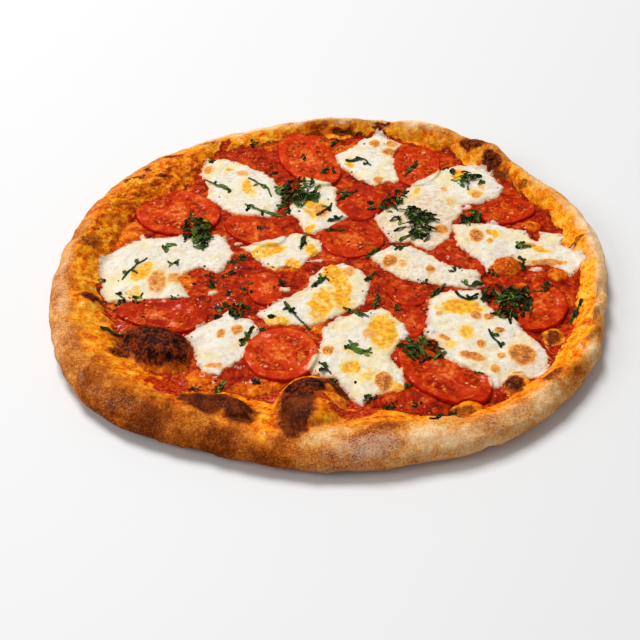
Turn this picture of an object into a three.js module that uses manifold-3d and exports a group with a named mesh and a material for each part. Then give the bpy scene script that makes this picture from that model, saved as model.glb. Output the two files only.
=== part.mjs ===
// A whole margherita pizza: a hand-stretched crust with a blistered rim, a thin layer of
// tomato sauce, tomato slices, torn mozzarella and shredded basil. Sizes are millimetres,
// +Z is up and the near edge faces -Y. Every topping is a closed body of its own, lying
// a hair's breadth clear of whatever carries it.

import * as THREE from "three";
import Module from "manifold-3d";

const wasm = await Module();
wasm.setup();

// ---- sizes ------------------------------------------------------------------------------

const CLEARANCE = 0.3; // gap between pieces that rest on each other
const FLOOR = 5.5; // thickness of the flat dough under the sauce
const RIM_WIDEST = 8; // height at which the rim reaches furthest out
const RIM_TUCK = 10; // how far the rim's underside curls in before it touches down
const SAUCE = 1.6; // depth of the sauce
const SAUCE_EDGE = 0.7; // depth of the sauce where it thins out against the rim
const TOMATO = 3.2; // thickness of a baked tomato slice
const MOZZARELLA = 3.6; // thickness of a melted piece of mozzarella
const BASIL_HEAP = 3.4; // height of a heap of basil shreds
const BASIL_LEAF = 0.7; // thickness of a single wilted shred
const TOPPING_GAP = 0.8; // sideways room between neighbouring toppings

const RIM_SPOKES = 108; // facets round the crust and the sauce
const MOZZARELLA_SPOKES = 28;
const TOMATO_SPOKES = 24;
const HEAP_SPOKES = 12;

// How far the dough reaches from the middle, every 15 degrees anticlockwise from +X.
const OUTLINE = [
  184.5, 184.5, 177, 180, 181, 178.5, 177.5, 179.5, 181.5, 184.5, 184.5, 183,
  184.5, 185.5, 186.5, 182, 170, 167.5, 169, 171.5, 179, 183, 185, 182.5,
];

// How far the sauce was spread, in the same directions.
const SAUCE_REACH = [
  165, 162, 160, 160, 163, 163, 164, 159, 162, 142, 152, 152,
  151, 145, 141, 134, 119, 119, 118, 127, 148, 157, 160, 160,
];

// Height of the rim's crest, in the same directions: it sank at the far side.
const RIM_HEIGHTS = [
  18.6, 18.6, 18.6, 18.6, 18.2, 16.8, 15.2, 13, 11.8, 15, 17.6, 18.6,
  18.6, 18.6, 18.6, 18.6, 18.6, 18.6, 18.6, 18.6, 18.6, 18.6, 18.6, 18.6,
];

// Bubbles in the dough: middle, half sizes along and across, turn in degrees, rise.
const RIM_BLISTERS = [
  { at: [-109, -64], half: [27, 18], turn: -34, rise: 12 },
  { at: [-67, -121], half: [23, 11], turn: -25, rise: 5.5 },
  { at: [-15, -120], half: [22, 23], turn: 0, rise: 12 },
  { at: [-14, -108], half: [19, 14], turn: 0, rise: 13 },
  { at: [26, -147], half: [10, 8], turn: 10, rise: 2 },
  { at: [77, -125], half: [11, 8], turn: 30, rise: 2.5 },
  { at: [109, -106], half: [10, 8], turn: 44, rise: 3.5 },
  { at: [128, -115], half: [9, 8], turn: 49, rise: 2 },
  { at: [138, -66], half: [9, 8], turn: 63, rise: 3.5 },
  { at: [117, 118], half: [18, 12], turn: -44, rise: 4.5 },
  { at: [78, 152], half: [26, 12], turn: -27, rise: 3.5 },
  { at: [165, 22], half: [12, 7], turn: -20, rise: 3 },
  { at: [-154, -25], half: [10, 8], turn: 99, rise: 3 },
  { at: [-163, 27], half: [11, 9], turn: 79, rise: 2.5 },
  { at: [12, 162], half: [12, 6], turn: -4, rise: 2 },
];

// Bubbles that push the sauce up well inside the rim.
const SAUCE_BLISTERS = [
  { at: [118, 0], half: [11, 10], turn: 0, rise: 5 },
  { at: [150, -10], half: [8, 8], turn: 0, rise: 3.5 },
  { at: [141, 41], half: [8, 7], turn: 0, rise: 3 },
];

// Melted mozzarella: middle, and reach of the torn outline every 30 degrees from +X.
const MOZZARELLA_PIECES = [
  { at: [-61, 96], reach: [27, 24, 24, 28, 43, 33, 23, 25, 26, 31, 42, 34] },
  { at: [-113, 13], reach: [45, 50, 32, 31, 31, 36, 40, 42, 39, 35, 37, 19] },
  { at: [36, 126], reach: [16, 24, 32, 28, 22, 21, 27, 24, 26, 34, 35, 18] },
  { at: [-7, 71], reach: [15, 16, 27, 29, 23, 16, 19, 19, 22, 30, 24, 22] },
  { at: [-29, 23], reach: [24, 23, 20, 14, 14, 18, 24, 20, 20, 15, 19, 17] },
  { at: [-69, -63], reach: [17, 25, 24, 23, 20, 21, 19, 18, 25, 27, 20, 17] },
  { at: [-5, -25], reach: [30, 35, 36, 28, 17, 15, 24, 42, 30, 23, 20, 24] },
  { at: [18, -77], reach: [19, 34, 40, 35, 33, 29, 27, 33, 29, 41, 40, 23] },
  { at: [63, 0], reach: [16, 12, 13, 17, 27, 34, 25, 17, 15, 15, 21, 42] },
  { at: [79, 68], reach: [33, 51, 51, 34, 28, 26, 31, 49, 47, 40, 21, 18] },
  { at: [126, 19], reach: [36, 26, 17, 18, 30, 45, 38, 29, 13, 14, 23, 47] },
  { at: [93, -67], reach: [29, 26, 23, 43, 47, 36, 31, 30, 31, 38, 41, 44] },
];

// Tomato slices: middle, half sizes, turn in degrees. Where mozzarella lies over a slice
// only the part that shows is a body.
const TOMATO_SLICES = [
  { at: [-105, 72], half: [32, 25], turn: 153 },
  { at: [-11, 129], half: [36, 20], turn: 115 },
  { at: [68, 117], half: [26, 18], turn: 84 },
  { at: [-50, 48], half: [25, 14], turn: 146 },
  { at: [23, 75], half: [20, 18], turn: 93 },
  { at: [17, 35], half: [22, 20], turn: 170 },
  { at: [-111, -35], half: [32, 17], turn: 174 },
  { at: [-42, -12], half: [17, 12], turn: 95 },
  { at: [-32, -74], half: [24, 23], turn: 0 },
  { at: [67, -94], half: [34, 22], turn: 133 },
  { at: [88, 9], half: [23, 12], turn: 124 },
  { at: [126, 59], half: [21, 14], turn: 13 },
  { at: [132, -40], half: [23, 19], turn: 57 },
  { at: [50, -49], half: [15, 11], turn: 83 },
  { at: [50, -24], half: [13, 10], turn: 150 },
];

// Heaps of basil shreds: middle, half sizes, turn in degrees.
const BASIL_HEAPS = [
  { at: [-19, 88], half: [12, 16], turn: 0 },
  { at: [-90, 48], half: [9, 16], turn: 10 },
  { at: [62, 50], half: [10, 14], turn: -10 },
  { at: [114, -35], half: [13, 14], turn: 30 },
  { at: [54, -75], half: [10, 7], turn: -20 },
  { at: [103, 95], half: [9, 8], turn: -35 },
  { at: [103, 53], half: [9, 6], turn: 40 },
  { at: [46, 73], half: [9, 6], turn: 40 },
  { at: [-60, -32], half: [7, 5], turn: 50 },
];

// Single shreds that lie across sauce and slices: points along the shred, and its width.
const BASIL_LEAVES = [
  { along: [[-146, -48], [-142, -49.5], [-138, -50], [-134, -49.5], [-131, -48]], width: 4 },
  { along: [[-72, -106], [-71, -103], [-69, -100], [-67, -96], [-65, -93]], width: 4.5 },
  { along: [[-19, 25], [-17, 35], [-14, 44]], width: 5 },
  { along: [[-12, -13], [-7, -8], [-1, -3]], width: 5 },
  { along: [[151, -54], [156, -46], [161, -38]], width: 6 },
  { along: [[139, -21], [146, -20]], width: 5 },
  { along: [[-1, 44], [6, 45], [14, 46]], width: 3 },
  { along: [[8, 78], [16, 85], [25, 91]], width: 3 },
  { along: [[23, -9], [28, -3], [32, 1]], width: 4 },
  { along: [[28, -37], [30, -26], [31, -18]], width: 3.5 },
  { along: [[65, -26], [71, -20], [77, -14]], width: 4 },
  { along: [[25, 15], [31, 20], [37, 26]], width: 4 },
  { along: [[8, -34], [17, -40], [25, -45]], width: 3.5 },
  { along: [[59, 106], [65, 115], [70, 124]], width: 3.5 },
];

// Thin shreds stuck in the mozzarella: which piece, points along the shred.
const STUCK_SHREDS = [
  { on: 0, along: [[-80, 103], [-73, 98], [-67, 93]] },
  { on: 0, along: [[-55, 106], [-48, 100], [-43, 92]] },
  { on: 0, along: [[-57, 79], [-49, 73], [-41, 72]] },
  { on: 1, along: [[-138, 3], [-133, 11], [-127, 17], [-122, 21]] },
  { on: 2, along: [[20, 125], [27, 124], [34, 120]] },
  { on: 5, along: [[-58, -63], [-55, -57], [-53, -51]] },
  { on: 6, along: [[-27, -34], [-22, -41], [-17, -47]] },
  { on: 7, along: [[11, -66], [14, -72], [19, -75], [24, -72]] },
  { on: 11, along: [[98, -60], [100, -67], [103, -74]] },
];
const SHRED_WIDTH = 1.8;
const SHRED_BITE = 0.5; // how deep a stuck shred sinks into the cheese

// ---- helpers ----------------------------------------------------------------------------

const FULL_TURN = 2 * Math.PI;
const radians = (degrees) => (degrees * Math.PI) / 180;

// Reads a ring of evenly spaced values at any angle, rounded between its entries.
function around(values, angle) {
  const count = values.length;
  const place = (((angle / FULL_TURN) % 1) + 1) % 1 * count;
  const first = Math.floor(place);
  const t = place - first;
  const [a, b, c, d] = [-1, 0, 1, 2].map((step) => values[(first + step + count) % count]);
  return b + 0.5 * t * (c - a + t * (2 * a - 5 * b + 4 * c - d + t * (3 * (b - c) + d - a)));
}

// Gentle unevenness between -1 and 1, with swells about `length` across.
function swell(x, y, length, seed) {
  let sum = 0;
  for (let k = 0; k < 4; k++) {
    const way = 2.4 * k + seed;
    const pace = FULL_TURN / (length * (1 + 0.23 * k));
    sum += Math.sin((x * Math.cos(way) + y * Math.sin(way)) * pace + 1.7 * seed * (k + 1));
  }
  return sum / 4;
}

// Squared distance from an oval's middle, 1 on its outline.
function ovalDistance(oval, x, y) {
  const turn = radians(oval.turn);
  const [dx, dy] = [x - oval.at[0], y - oval.at[1]];
  const along = (dx * Math.cos(turn) + dy * Math.sin(turn)) / oval.half[0];
  const across = (dy * Math.cos(turn) - dx * Math.sin(turn)) / oval.half[1];
  return along * along + across * across;
}

// Height that a set of bubbles adds at a point.
function bubbled(blisters, x, y) {
  return blisters.reduce((height, blister) => {
    const inside = Math.max(0, 1 - ovalDistance(blister, x, y));
    return Math.max(height, blister.rise * inside ** 0.8);
  }, 0);
}

// A closed body from rings that run from a top middle, over the edge, to a bottom middle.
function stacked(topMiddle, rings, bottomMiddle) {
  const count = rings[0].length;
  const points = [topMiddle, ...rings.flat(), bottomMiddle];
  const last = rings.length - 1;
  const at = (ring, i) => 1 + ring * count + (i % count);
  const faces = [];
  for (let i = 0; i < count; i++) {
    faces.push([0, at(0, i), at(0, i + 1)], [points.length - 1, at(last, i + 1), at(last, i)]);
    for (let ring = 0; ring < last; ring++) {
      faces.push([at(ring, i), at(ring + 1, i), at(ring + 1, i + 1)]);
      faces.push([at(ring, i), at(ring + 1, i + 1), at(ring, i + 1)]);
    }
  }
  return { points, faces };
}

// A flat strip along a path of [x, y, z] points, tapered to both ends.
function strip(path, width, thickness) {
  const corners = [[1, 1], [-1, 1], [-1, 0], [1, 0]];
  const points = path.flatMap(([x, y, z], i) => {
    const [before, after] = [path[Math.max(i - 1, 0)], path[Math.min(i + 1, path.length - 1)]];
    const way = Math.atan2(after[1] - before[1], after[0] - before[0]);
    const half = (i === 0 || i === path.length - 1 ? 0.3 : 0.5) * width;
    return corners.map(([side, level]) => [
      x + Math.sin(way) * half * side,
      y - Math.cos(way) * half * side,
      z + thickness * level,
    ]);
  });
  const faces = [[0, 1, 2], [0, 2, 3]];
  for (let i = 0; i + 1 < path.length; i++) {
    for (let k = 0; k < 4; k++) {
      const [a, b] = [4 * i + k, 4 * i + ((k + 1) % 4)];
      faces.push([a, a + 4, b + 4], [a, b + 4, b]);
    }
  }
  const end = 4 * (path.length - 1);
  faces.push([end, end + 2, end + 1], [end, end + 3, end + 2]);
  return { points, faces };
}

// Joins closed bodies that run into each other.
function fused(bodies) {
  const parts = bodies.map(({ points, faces }) => new wasm.Manifold(new wasm.Mesh({
    numProp: 3,
    vertProperties: new Float32Array(points.flat()),
    triVerts: new Uint32Array(faces.flat()),
  })));
  const whole = parts.reduce((sum, part) => sum.add(part)).getMesh();
  const pick = (list, size, i) => Array.from(list.slice(size * i, size * i + 3));
  return {
    points: Array.from({ length: whole.numVert }, (_, i) => pick(whole.vertProperties, whole.numProp, i)),
    faces: Array.from({ length: whole.numTri }, (_, i) => pick(whole.triVerts, 3, i)),
  };
}

const pizza = new THREE.Group();
pizza.name = "pizza";

function addBody(name, { points, faces }, colour) {
  const geometry = new THREE.BufferGeometry();
  geometry.setAttribute("position", new THREE.Float32BufferAttribute(points.flat(), 3));
  geometry.setIndex(faces.flat());
  geometry.computeVertexNormals();
  const mesh = new THREE.Mesh(geometry, new THREE.MeshStandardMaterial({ color: colour, roughness: 0.6 }));
  mesh.name = name;
  pizza.add(mesh);
}

// ---- crust: one piece of dough, flat in the middle, with a raised and bubbled rim ------------

const onCircle = (angle, radius, z) => [radius * Math.cos(angle), radius * Math.sin(angle), z];
const spokeAngles = (count) => Array.from({ length: count }, (_, i) => (i / count) * FULL_TURN);

// The rim in one direction: where it starts, its crest, and how far out it reaches.
function rimAt(angle) {
  const outer = around(OUTLINE, angle);
  const inner = around(SAUCE_REACH, angle);
  const crest = outer - 3 - 0.27 * (outer - inner);
  const wobble = swell(...onCircle(angle, outer, 0).slice(0, 2), 90, 2);
  return { inner, crest, outer, height: around(RIM_HEIGHTS, angle) + 1.3 * wobble };
}

// Top of the bare dough, from the flat middle up to the crest.
function doughTop(angle, radius) {
  const { inner, crest, height } = rimAt(angle);
  const climb = Math.min(Math.max((radius - inner) / (crest - inner), 0), 1);
  const [x, y] = onCircle(angle, radius, 0);
  return FLOOR + (height - FLOOR) * (1 - (1 - climb) ** 1.6) + bubbled(RIM_BLISTERS, x, y);
}

// Edge of the flat floor, which a bubble of the rim may push inwards.
function pushedEdge(angle) {
  let radius = rimAt(angle).inner;
  while (bubbled(RIM_BLISTERS, ...onCircle(angle, radius, 0)) > 0) radius -= 0.5;
  return radius;
}

// The same edge with its corners eased, so that it never runs in or out steeper than this.
const EDGE_STEEPNESS = 1.1;
const EDGE_ANGLES = spokeAngles(240);
const pushedEdges = EDGE_ANGLES.map(pushedEdge);
const easedEdges = EDGE_ANGLES.map((angle) => Math.min(...EDGE_ANGLES.map((other, i) => {
  const apart = Math.abs(Math.atan2(Math.sin(other - angle), Math.cos(other - angle)));
  return pushedEdges[i] * (1 + EDGE_STEEPNESS * apart);
})));
const floorEdge = (angle) => around(easedEdges, angle);

const SLOPE_ROWS = 6;
const SHOULDER_ROWS = 4;
const UNDERSIDE_ROWS = 3;

function crustRings() {
  const rings = [];
  const angles = spokeAngles(RIM_SPOKES);
  for (let row = 0; row <= SLOPE_ROWS; row++) {
    rings.push(angles.map((angle) => {
      const edge = floorEdge(angle);
      const radius = edge + ((rimAt(angle).crest - edge) * row) / SLOPE_ROWS;
      return onCircle(angle, radius, row === 0 ? FLOOR : doughTop(angle, radius));
    }));
  }
  for (let row = 1; row <= SHOULDER_ROWS; row++) {
    const turn = radians((90 * row) / SHOULDER_ROWS);
    rings.push(angles.map((angle) => {
      const { crest, outer } = rimAt(angle);
      const top = doughTop(angle, crest);
      const radius = crest + (outer - crest) * Math.sin(turn);
      return onCircle(angle, radius, RIM_WIDEST + (top - RIM_WIDEST) * Math.cos(turn) ** 0.9);
    }));
  }
  for (let row = 1; row <= UNDERSIDE_ROWS; row++) {
    const turn = radians((90 * row) / UNDERSIDE_ROWS);
    rings.push(angles.map((angle) => onCircle(
      angle,
      rimAt(angle).outer - RIM_TUCK * (1 - Math.cos(turn)),
      row === UNDERSIDE_ROWS ? 0 : RIM_WIDEST * (1 - Math.sin(turn)),
    )));
  }
  return rings;
}

addBody("crust", stacked([0, 0, FLOOR], crustRings(), [0, 0, 0]), "#d99a4e");

// ---- sauce: one thin uneven layer, spread up to the rim --------------------------------------

const SAUCE_BOTTOM = FLOOR + CLEARANCE;
const SAUCE_SWELL = 0.3; // unevenness of its surface
const SAUCE_ROWS = [0.35, 0.6, 0.8, 0.95];
const SAUCE_BUBBLE_RINGS = [[0.4, 0.9], [0.75, 0.6], [1, 0.1]]; // share of the reach, of the rise
const BUBBLE_SPOKES = 12;
const sauceTop = (x, y) => SAUCE_BOTTOM + SAUCE + SAUCE_SWELL * swell(x, y, 60, 5);

function sauceRings() {
  const angles = spokeAngles(RIM_SPOKES);
  const edge = angles.map((angle) => floorEdge(angle) - 2 * CLEARANCE);
  const rings = SAUCE_ROWS.map((share) => angles.map((angle, i) => {
    const [x, y] = onCircle(angle, edge[i] * share, 0);
    return [x, y, sauceTop(x, y)];
  }));
  rings.push(angles.map((angle, i) => onCircle(angle, edge[i], SAUCE_BOTTOM + SAUCE_EDGE)));
  rings.push(angles.map((angle, i) => onCircle(angle, edge[i], SAUCE_BOTTOM)));
  return rings;
}

// A dome that stands in the sauce and rises out of it.
function sauceBubble({ at, half, rise }) {
  const [x, y] = at;
  const root = sauceTop(x, y);
  const ring = (share, z) => spokeAngles(BUBBLE_SPOKES).map((angle) =>
    [x + half[0] * share * Math.cos(angle), y + half[1] * share * Math.sin(angle), z]);
  const rings = SAUCE_BUBBLE_RINGS.map(([share, height]) => ring(share, root + rise * height));
  const foot = root - SAUCE / 2;
  return stacked([x, y, root + rise], [...rings, ring(1, foot)], [x, y, foot]);
}

const sheet = stacked([0, 0, sauceTop(0, 0)], sauceRings(), [0, 0, SAUCE_BOTTOM]);
addBody("sauce", fused([sheet, ...SAUCE_BLISTERS.map(sauceBubble)]), "#b3300f");

// ---- toppings that lie flat: mozzarella first, then the slices that show between it -----------

const REST = SAUCE_BOTTOM + SAUCE + SAUCE_SWELL + CLEARANCE; // underside of slices and cheese
const laid = []; // plan outlines of the toppings laid so far

// Distance from a point to a closed outline, 0 inside it.
function distanceTo(outline, x, y) {
  let nearest = Infinity;
  let inside = false;
  outline.forEach(([x1, y1], i) => {
    const [x2, y2] = outline[(i + 1) % outline.length];
    const [ex, ey] = [x2 - x1, y2 - y1];
    const t = Math.min(Math.max(((x - x1) * ex + (y - y1) * ey) / (ex * ex + ey * ey), 0), 1);
    nearest = Math.min(nearest, Math.hypot(x - x1 - t * ex, y - y1 - t * ey));
    if (y1 > y !== y2 > y && x < x1 + ((y - y1) * ex) / ey) inside = !inside;
  });
  return inside ? 0 : nearest;
}

// Whether a point is free of earlier toppings, of the rim and of bubbles in the sauce.
function isFree(x, y, gap = TOPPING_GAP) {
  const radius = Math.hypot(x, y);
  return radius < floorEdge(Math.atan2(y, x)) - 2
    && SAUCE_BLISTERS.every((blister) => ovalDistance(blister, x, y) > 1.2)
    && laid.every((outline) => distanceTo(outline, x, y) > gap);
}

// Plan outline of a topping: its wished reach in each direction, cut short by what is there.
function plan(at, reachOf, spokes) {
  const step = 0.25;
  const angles = spokeAngles(spokes);
  const point = (angle, reach) => [at[0] + Math.cos(angle) * reach, at[1] + Math.sin(angle) * reach];
  const reaches = angles.map((angle) => {
    let reach = 1;
    while (reach < reachOf(angle) && isFree(...point(angle, reach + step))) reach += step;
    return reach;
  });
  // An edge between two spokes may still cut across a neighbour: both its ends draw back.
  angles.forEach((angle, i) => {
    const next = (i + 1) % spokes;
    const edgeIsFree = () => {
      const [a, b] = [point(angle, reaches[i]), point(angles[next], reaches[next])];
      return [0.2, 0.4, 0.6, 0.8].every((t) =>
        isFree(a[0] + (b[0] - a[0]) * t, a[1] + (b[1] - a[1]) * t, TOPPING_GAP / 2));
    };
    while (!edgeIsFree() && Math.min(reaches[i], reaches[next]) > 1) {
      reaches[i] -= step;
      reaches[next] -= step;
    }
  });
  const outline = angles.map((angle, i) => point(angle, reaches[i]));
  laid.push(outline);
  return outline;
}

// A patch with a plan outline: rings are [share of the reach, height above the underside].
function patch(at, outline, rings, middle, bottom, uneven) {
  const shaped = rings.map(([share, rise]) => outline.map(([x, y]) => {
    const [px, py] = [at[0] + (x - at[0]) * share, at[1] + (y - at[1]) * share];
    return [px, py, bottom + rise + (rise > 0 ? uneven(px, py) : 0)];
  }));
  const top = bottom + middle + uneven(...at);
  return stacked([...at, top], shaped, [...at, bottom]);
}

// A thin shred pressed into the top of a patch whose surface height is known.
function stuckShred(along, surface) {
  const path = along.map(([x, y]) => [x, y, surface(x, y) - SHRED_BITE]);
  return strip(path, SHRED_WIDTH, SHRED_BITE + BASIL_LEAF);
}

const MOZZARELLA_RINGS = [
  [0.45, MOZZARELLA], [0.78, 0.95 * MOZZARELLA], [0.94, 0.72 * MOZZARELLA],
  [1, 0.32 * MOZZARELLA], [0.99, 0],
];

MOZZARELLA_PIECES.forEach(({ at, reach }, i) => {
  const ragged = (angle) =>
    around(reach, angle) * (1 + 0.03 * Math.sin(9 * angle + i) + 0.02 * Math.sin(14 * angle - 2 * i));
  const outline = plan(at, ragged, MOZZARELLA_SPOKES);
  const uneven = (x, y) => 0.35 * swell(x, y, 22, i + 1);
  const surface = (x, y) => REST + MOZZARELLA + uneven(x, y);
  const piece = patch(at, outline, MOZZARELLA_RINGS, MOZZARELLA, REST, uneven);
  const shreds = STUCK_SHREDS.filter(({ on }) => on === i).map(({ along }) => stuckShred(along, surface));
  addBody(`mozzarella_${i + 1}`, fused([piece, ...shreds]), "#f3ead6");
});

const TOMATO_RINGS = [[0.82, TOMATO], [1, 0.82 * TOMATO], [0.985, 0]];

TOMATO_SLICES.forEach(({ at, half, turn }, i) => {
  const oval = (angle) => {
    const way = angle - radians(turn);
    return 1 / Math.hypot(Math.cos(way) / half[0], Math.sin(way) / half[1]);
  };
  const outline = plan(at, oval, TOMATO_SPOKES);
  addBody(`tomato_${i + 1}`, patch(at, outline, TOMATO_RINGS, TOMATO, REST, () => 0), "#d2402a");
});

// ---- basil: heaps and single shreds, laid on whatever is below them ---------------------------

const ABOVE_ALL = 100;
const ray = new THREE.Raycaster();
const straightDown = new THREE.Vector3(0, 0, -1);
const carriers = [...pizza.children];
const boxes = carriers.map((mesh) => new THREE.Box3().setFromObject(mesh));

// Highest surface below a point.
function topBelow(x, y) {
  ray.set(new THREE.Vector3(x, y, ABOVE_ALL), straightDown);
  const under = carriers.filter((_, i) =>
    x > boxes[i].min.x && x < boxes[i].max.x && y > boxes[i].min.y && y < boxes[i].max.y);
  const hit = ray.intersectObjects(under)[0];
  return hit ? hit.point.z : 0;
}

// Highest surface below a round spot.
function topUnder(x, y, radius) {
  let top = topBelow(x, y);
  for (const share of [0.35, 0.7, 1]) {
    for (const angle of spokeAngles(14)) {
      top = Math.max(top, topBelow(x + share * radius * Math.cos(angle), y + share * radius * Math.sin(angle)));
    }
  }
  return top;
}

const HEAP_RINGS = [[0.4, 0.95 * BASIL_HEAP], [0.8, 0.7 * BASIL_HEAP], [1, 0.35 * BASIL_HEAP], [0.9, 0]];

BASIL_HEAPS.forEach(({ at, half, turn }, i) => {
  const bottom = topUnder(...at, 1.15 * Math.max(...half)) + CLEARANCE;
  const outline = spokeAngles(HEAP_SPOKES).map((angle) => {
    const way = angle - radians(turn);
    const reach = (0.86 + 0.16 * Math.sin(5 * angle + 2 * i) + 0.1 * Math.sin(3 * angle + i))
      / Math.hypot(Math.cos(way) / half[0], Math.sin(way) / half[1]);
    return [at[0] + reach * Math.cos(angle), at[1] + reach * Math.sin(angle)];
  });
  const uneven = (x, y) => 0.5 * swell(x, y, 9, i + 3);
  const core = patch(at, outline, HEAP_RINGS, BASIL_HEAP, bottom, uneven);
  const shreds = [0, 1, 2].map((k) => {
    const way = radians(turn) + k * 1.05 + 0.4 * i;
    const reach = 1.05 / Math.hypot(Math.cos(way - radians(turn)) / half[0], Math.sin(way - radians(turn)) / half[1]);
    const path = [-1, -0.4, 0.4, 1].map((share) => [
      at[0] + share * reach * Math.cos(way) - (k - 1) * 1.5 * Math.sin(way),
      at[1] + share * reach * Math.sin(way) + (k - 1) * 1.5 * Math.cos(way),
      bottom + (0.35 + 0.25 * k) * BASIL_HEAP + 0.8 * share * share * (k - 0.5),
    ]);
    return strip(path, 2.6, BASIL_LEAF);
  });
  addBody(`basil_heap_${i + 1}`, fused([core, ...shreds]), "#24401c");
});

BASIL_LEAVES.forEach(({ along, width }, i) => {
  const step = Math.hypot(along[1][0] - along[0][0], along[1][1] - along[0][1]);
  const path = along.map(([x, y], k) => [x, y, topUnder(x, y, step + width / 2) + CLEARANCE + 0.2 * (k % 2)]);
  addBody(`basil_leaf_${i + 1}`, strip(path, width, BASIL_LEAF), "#2f5a22");
});

// ---- the whole, with its origin under the middle of its box ------------------------------------

const box = new THREE.Box3().setFromObject(pizza);
pizza.position.set(-(box.min.x + box.max.x) / 2, -(box.min.y + box.max.y) / 2, 0);
const part = new THREE.Group();
part.name = "margherita_pizza";
part.add(pizza);

export default part;
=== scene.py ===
# A whole baked margherita pizza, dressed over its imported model. Lengths are millimetres in
# the model's own frame and become metres where a mesh is made; every random draw is seeded.

import itertools
import math

import bpy
import numpy as np
from mathutils import Matrix, Vector
from mathutils.bvhtree import BVHTree


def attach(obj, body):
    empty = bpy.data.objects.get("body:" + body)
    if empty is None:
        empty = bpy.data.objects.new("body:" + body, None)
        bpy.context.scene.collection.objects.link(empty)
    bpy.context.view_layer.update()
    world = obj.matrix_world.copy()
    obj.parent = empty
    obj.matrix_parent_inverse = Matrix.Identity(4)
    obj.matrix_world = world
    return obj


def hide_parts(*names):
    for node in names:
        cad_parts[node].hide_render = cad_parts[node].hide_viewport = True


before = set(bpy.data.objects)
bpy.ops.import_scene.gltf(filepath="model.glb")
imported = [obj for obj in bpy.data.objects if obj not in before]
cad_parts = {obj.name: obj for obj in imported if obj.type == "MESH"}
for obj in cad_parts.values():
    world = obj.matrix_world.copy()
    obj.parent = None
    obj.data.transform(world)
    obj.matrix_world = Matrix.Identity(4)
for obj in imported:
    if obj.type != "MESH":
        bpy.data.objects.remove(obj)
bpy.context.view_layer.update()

# ---- camera ---------------------------------------------------------------------------------
# A camera on a stand three quarters of a metre away looks down on the near edge of the
# pizza. Its head is tipped a little over two degrees out of level.

MM = 0.001
LOOKS_AT = Vector((-7.15, -40.09, 0)) * MM
CAMERA_DISTANCE = 776.5 * MM
LOOKS_DOWN = math.radians(43.2)
TIPPED = math.radians(-2.23)
LENS = 67.5

camera = bpy.data.objects.new("camera", bpy.data.cameras.new("camera"))
camera.data.lens = LENS
backwards = Vector((0, -math.cos(LOOKS_DOWN), math.sin(LOOKS_DOWN)))
camera.matrix_world = (Matrix.Translation(LOOKS_AT + CAMERA_DISTANCE * backwards)
                       @ Matrix.Rotation(math.pi / 2 - LOOKS_DOWN, 4, "X")
                       @ Matrix.Rotation(TIPPED, 4, "Z"))
bpy.context.scene.collection.objects.link(camera)
bpy.context.scene.camera = camera

# ---- crust ----------------------------------------------------------------------------------
# One piece of hand-stretched dough, baked on a hot floor: flat under the sauce, with a rim
# that the heat has blown up into blisters. The tallest of them are charred, the inner
# slope has soaked up oil and sauce, and the outer face is dry and dusted with flour.

FLOOR = 5.5  # thickness of the flat dough
RIM_WIDEST = 8  # height at which the rim reaches furthest out
RIM_TUCK = 10  # how far its underside curls in before it touches down
CREST_BACK, CREST_SHARE = 3, 0.27  # the crest lies this far in, and this share of the rim
RIM_WOBBLE = 1.3
TALLEST = 22.4  # no blister stands higher

# How far the dough and the sauce reach from the middle, every 15 degrees from +X.
OUTLINE = [
    184.5, 184.5, 177, 180, 181, 178.5, 177.5, 179.5, 181.5, 184.5, 184.5, 183,
    184.5, 185.5, 186.5, 182, 170, 167.5, 169, 171.5, 179, 183, 185, 182.5]
SAUCE_REACH = [
    165, 162, 160, 160, 163, 163, 164, 159, 162, 142, 152, 152,
    151, 145, 141, 134, 119, 119, 118, 127, 148, 157, 160, 160]

# Height of the rim's crest, in the same directions: it sank at the far side.
RIM_HEIGHTS = [
    18.6, 18.6, 18.6, 18.6, 18.2, 16.8, 15.2, 13, 11.8, 15, 17.6, 18.6,
    18.6, 18.6, 18.6, 18.6, 18.6, 18.6, 18.6, 18.6, 18.6, 18.6, 18.6, 18.6]

# Blisters of the rim: middle, half sizes along and across, turn in degrees, rise.
RIM_BLISTERS = [
    (-109, -64, 27, 18, -34, 12), (-67, -121, 23, 11, -25, 5.5), (-15, -120, 22, 23, 0, 12),
    (-14, -108, 19, 14, 0, 13), (26, -147, 10, 8, 10, 2), (77, -125, 11, 8, 30, 2.5),
    (109, -106, 10, 8, 44, 3.5), (128, -115, 9, 8, 49, 2), (138, -66, 9, 8, 63, 3.5),
    (117, 118, 18, 12, -44, 4.5), (78, 152, 26, 12, -27, 3.5), (165, 22, 12, 7, -20, 3),
    (-154, -25, 10, 8, 99, 3), (-163, 27, 11, 9, 79, 2.5), (12, 162, 12, 6, -4, 2)]

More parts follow.
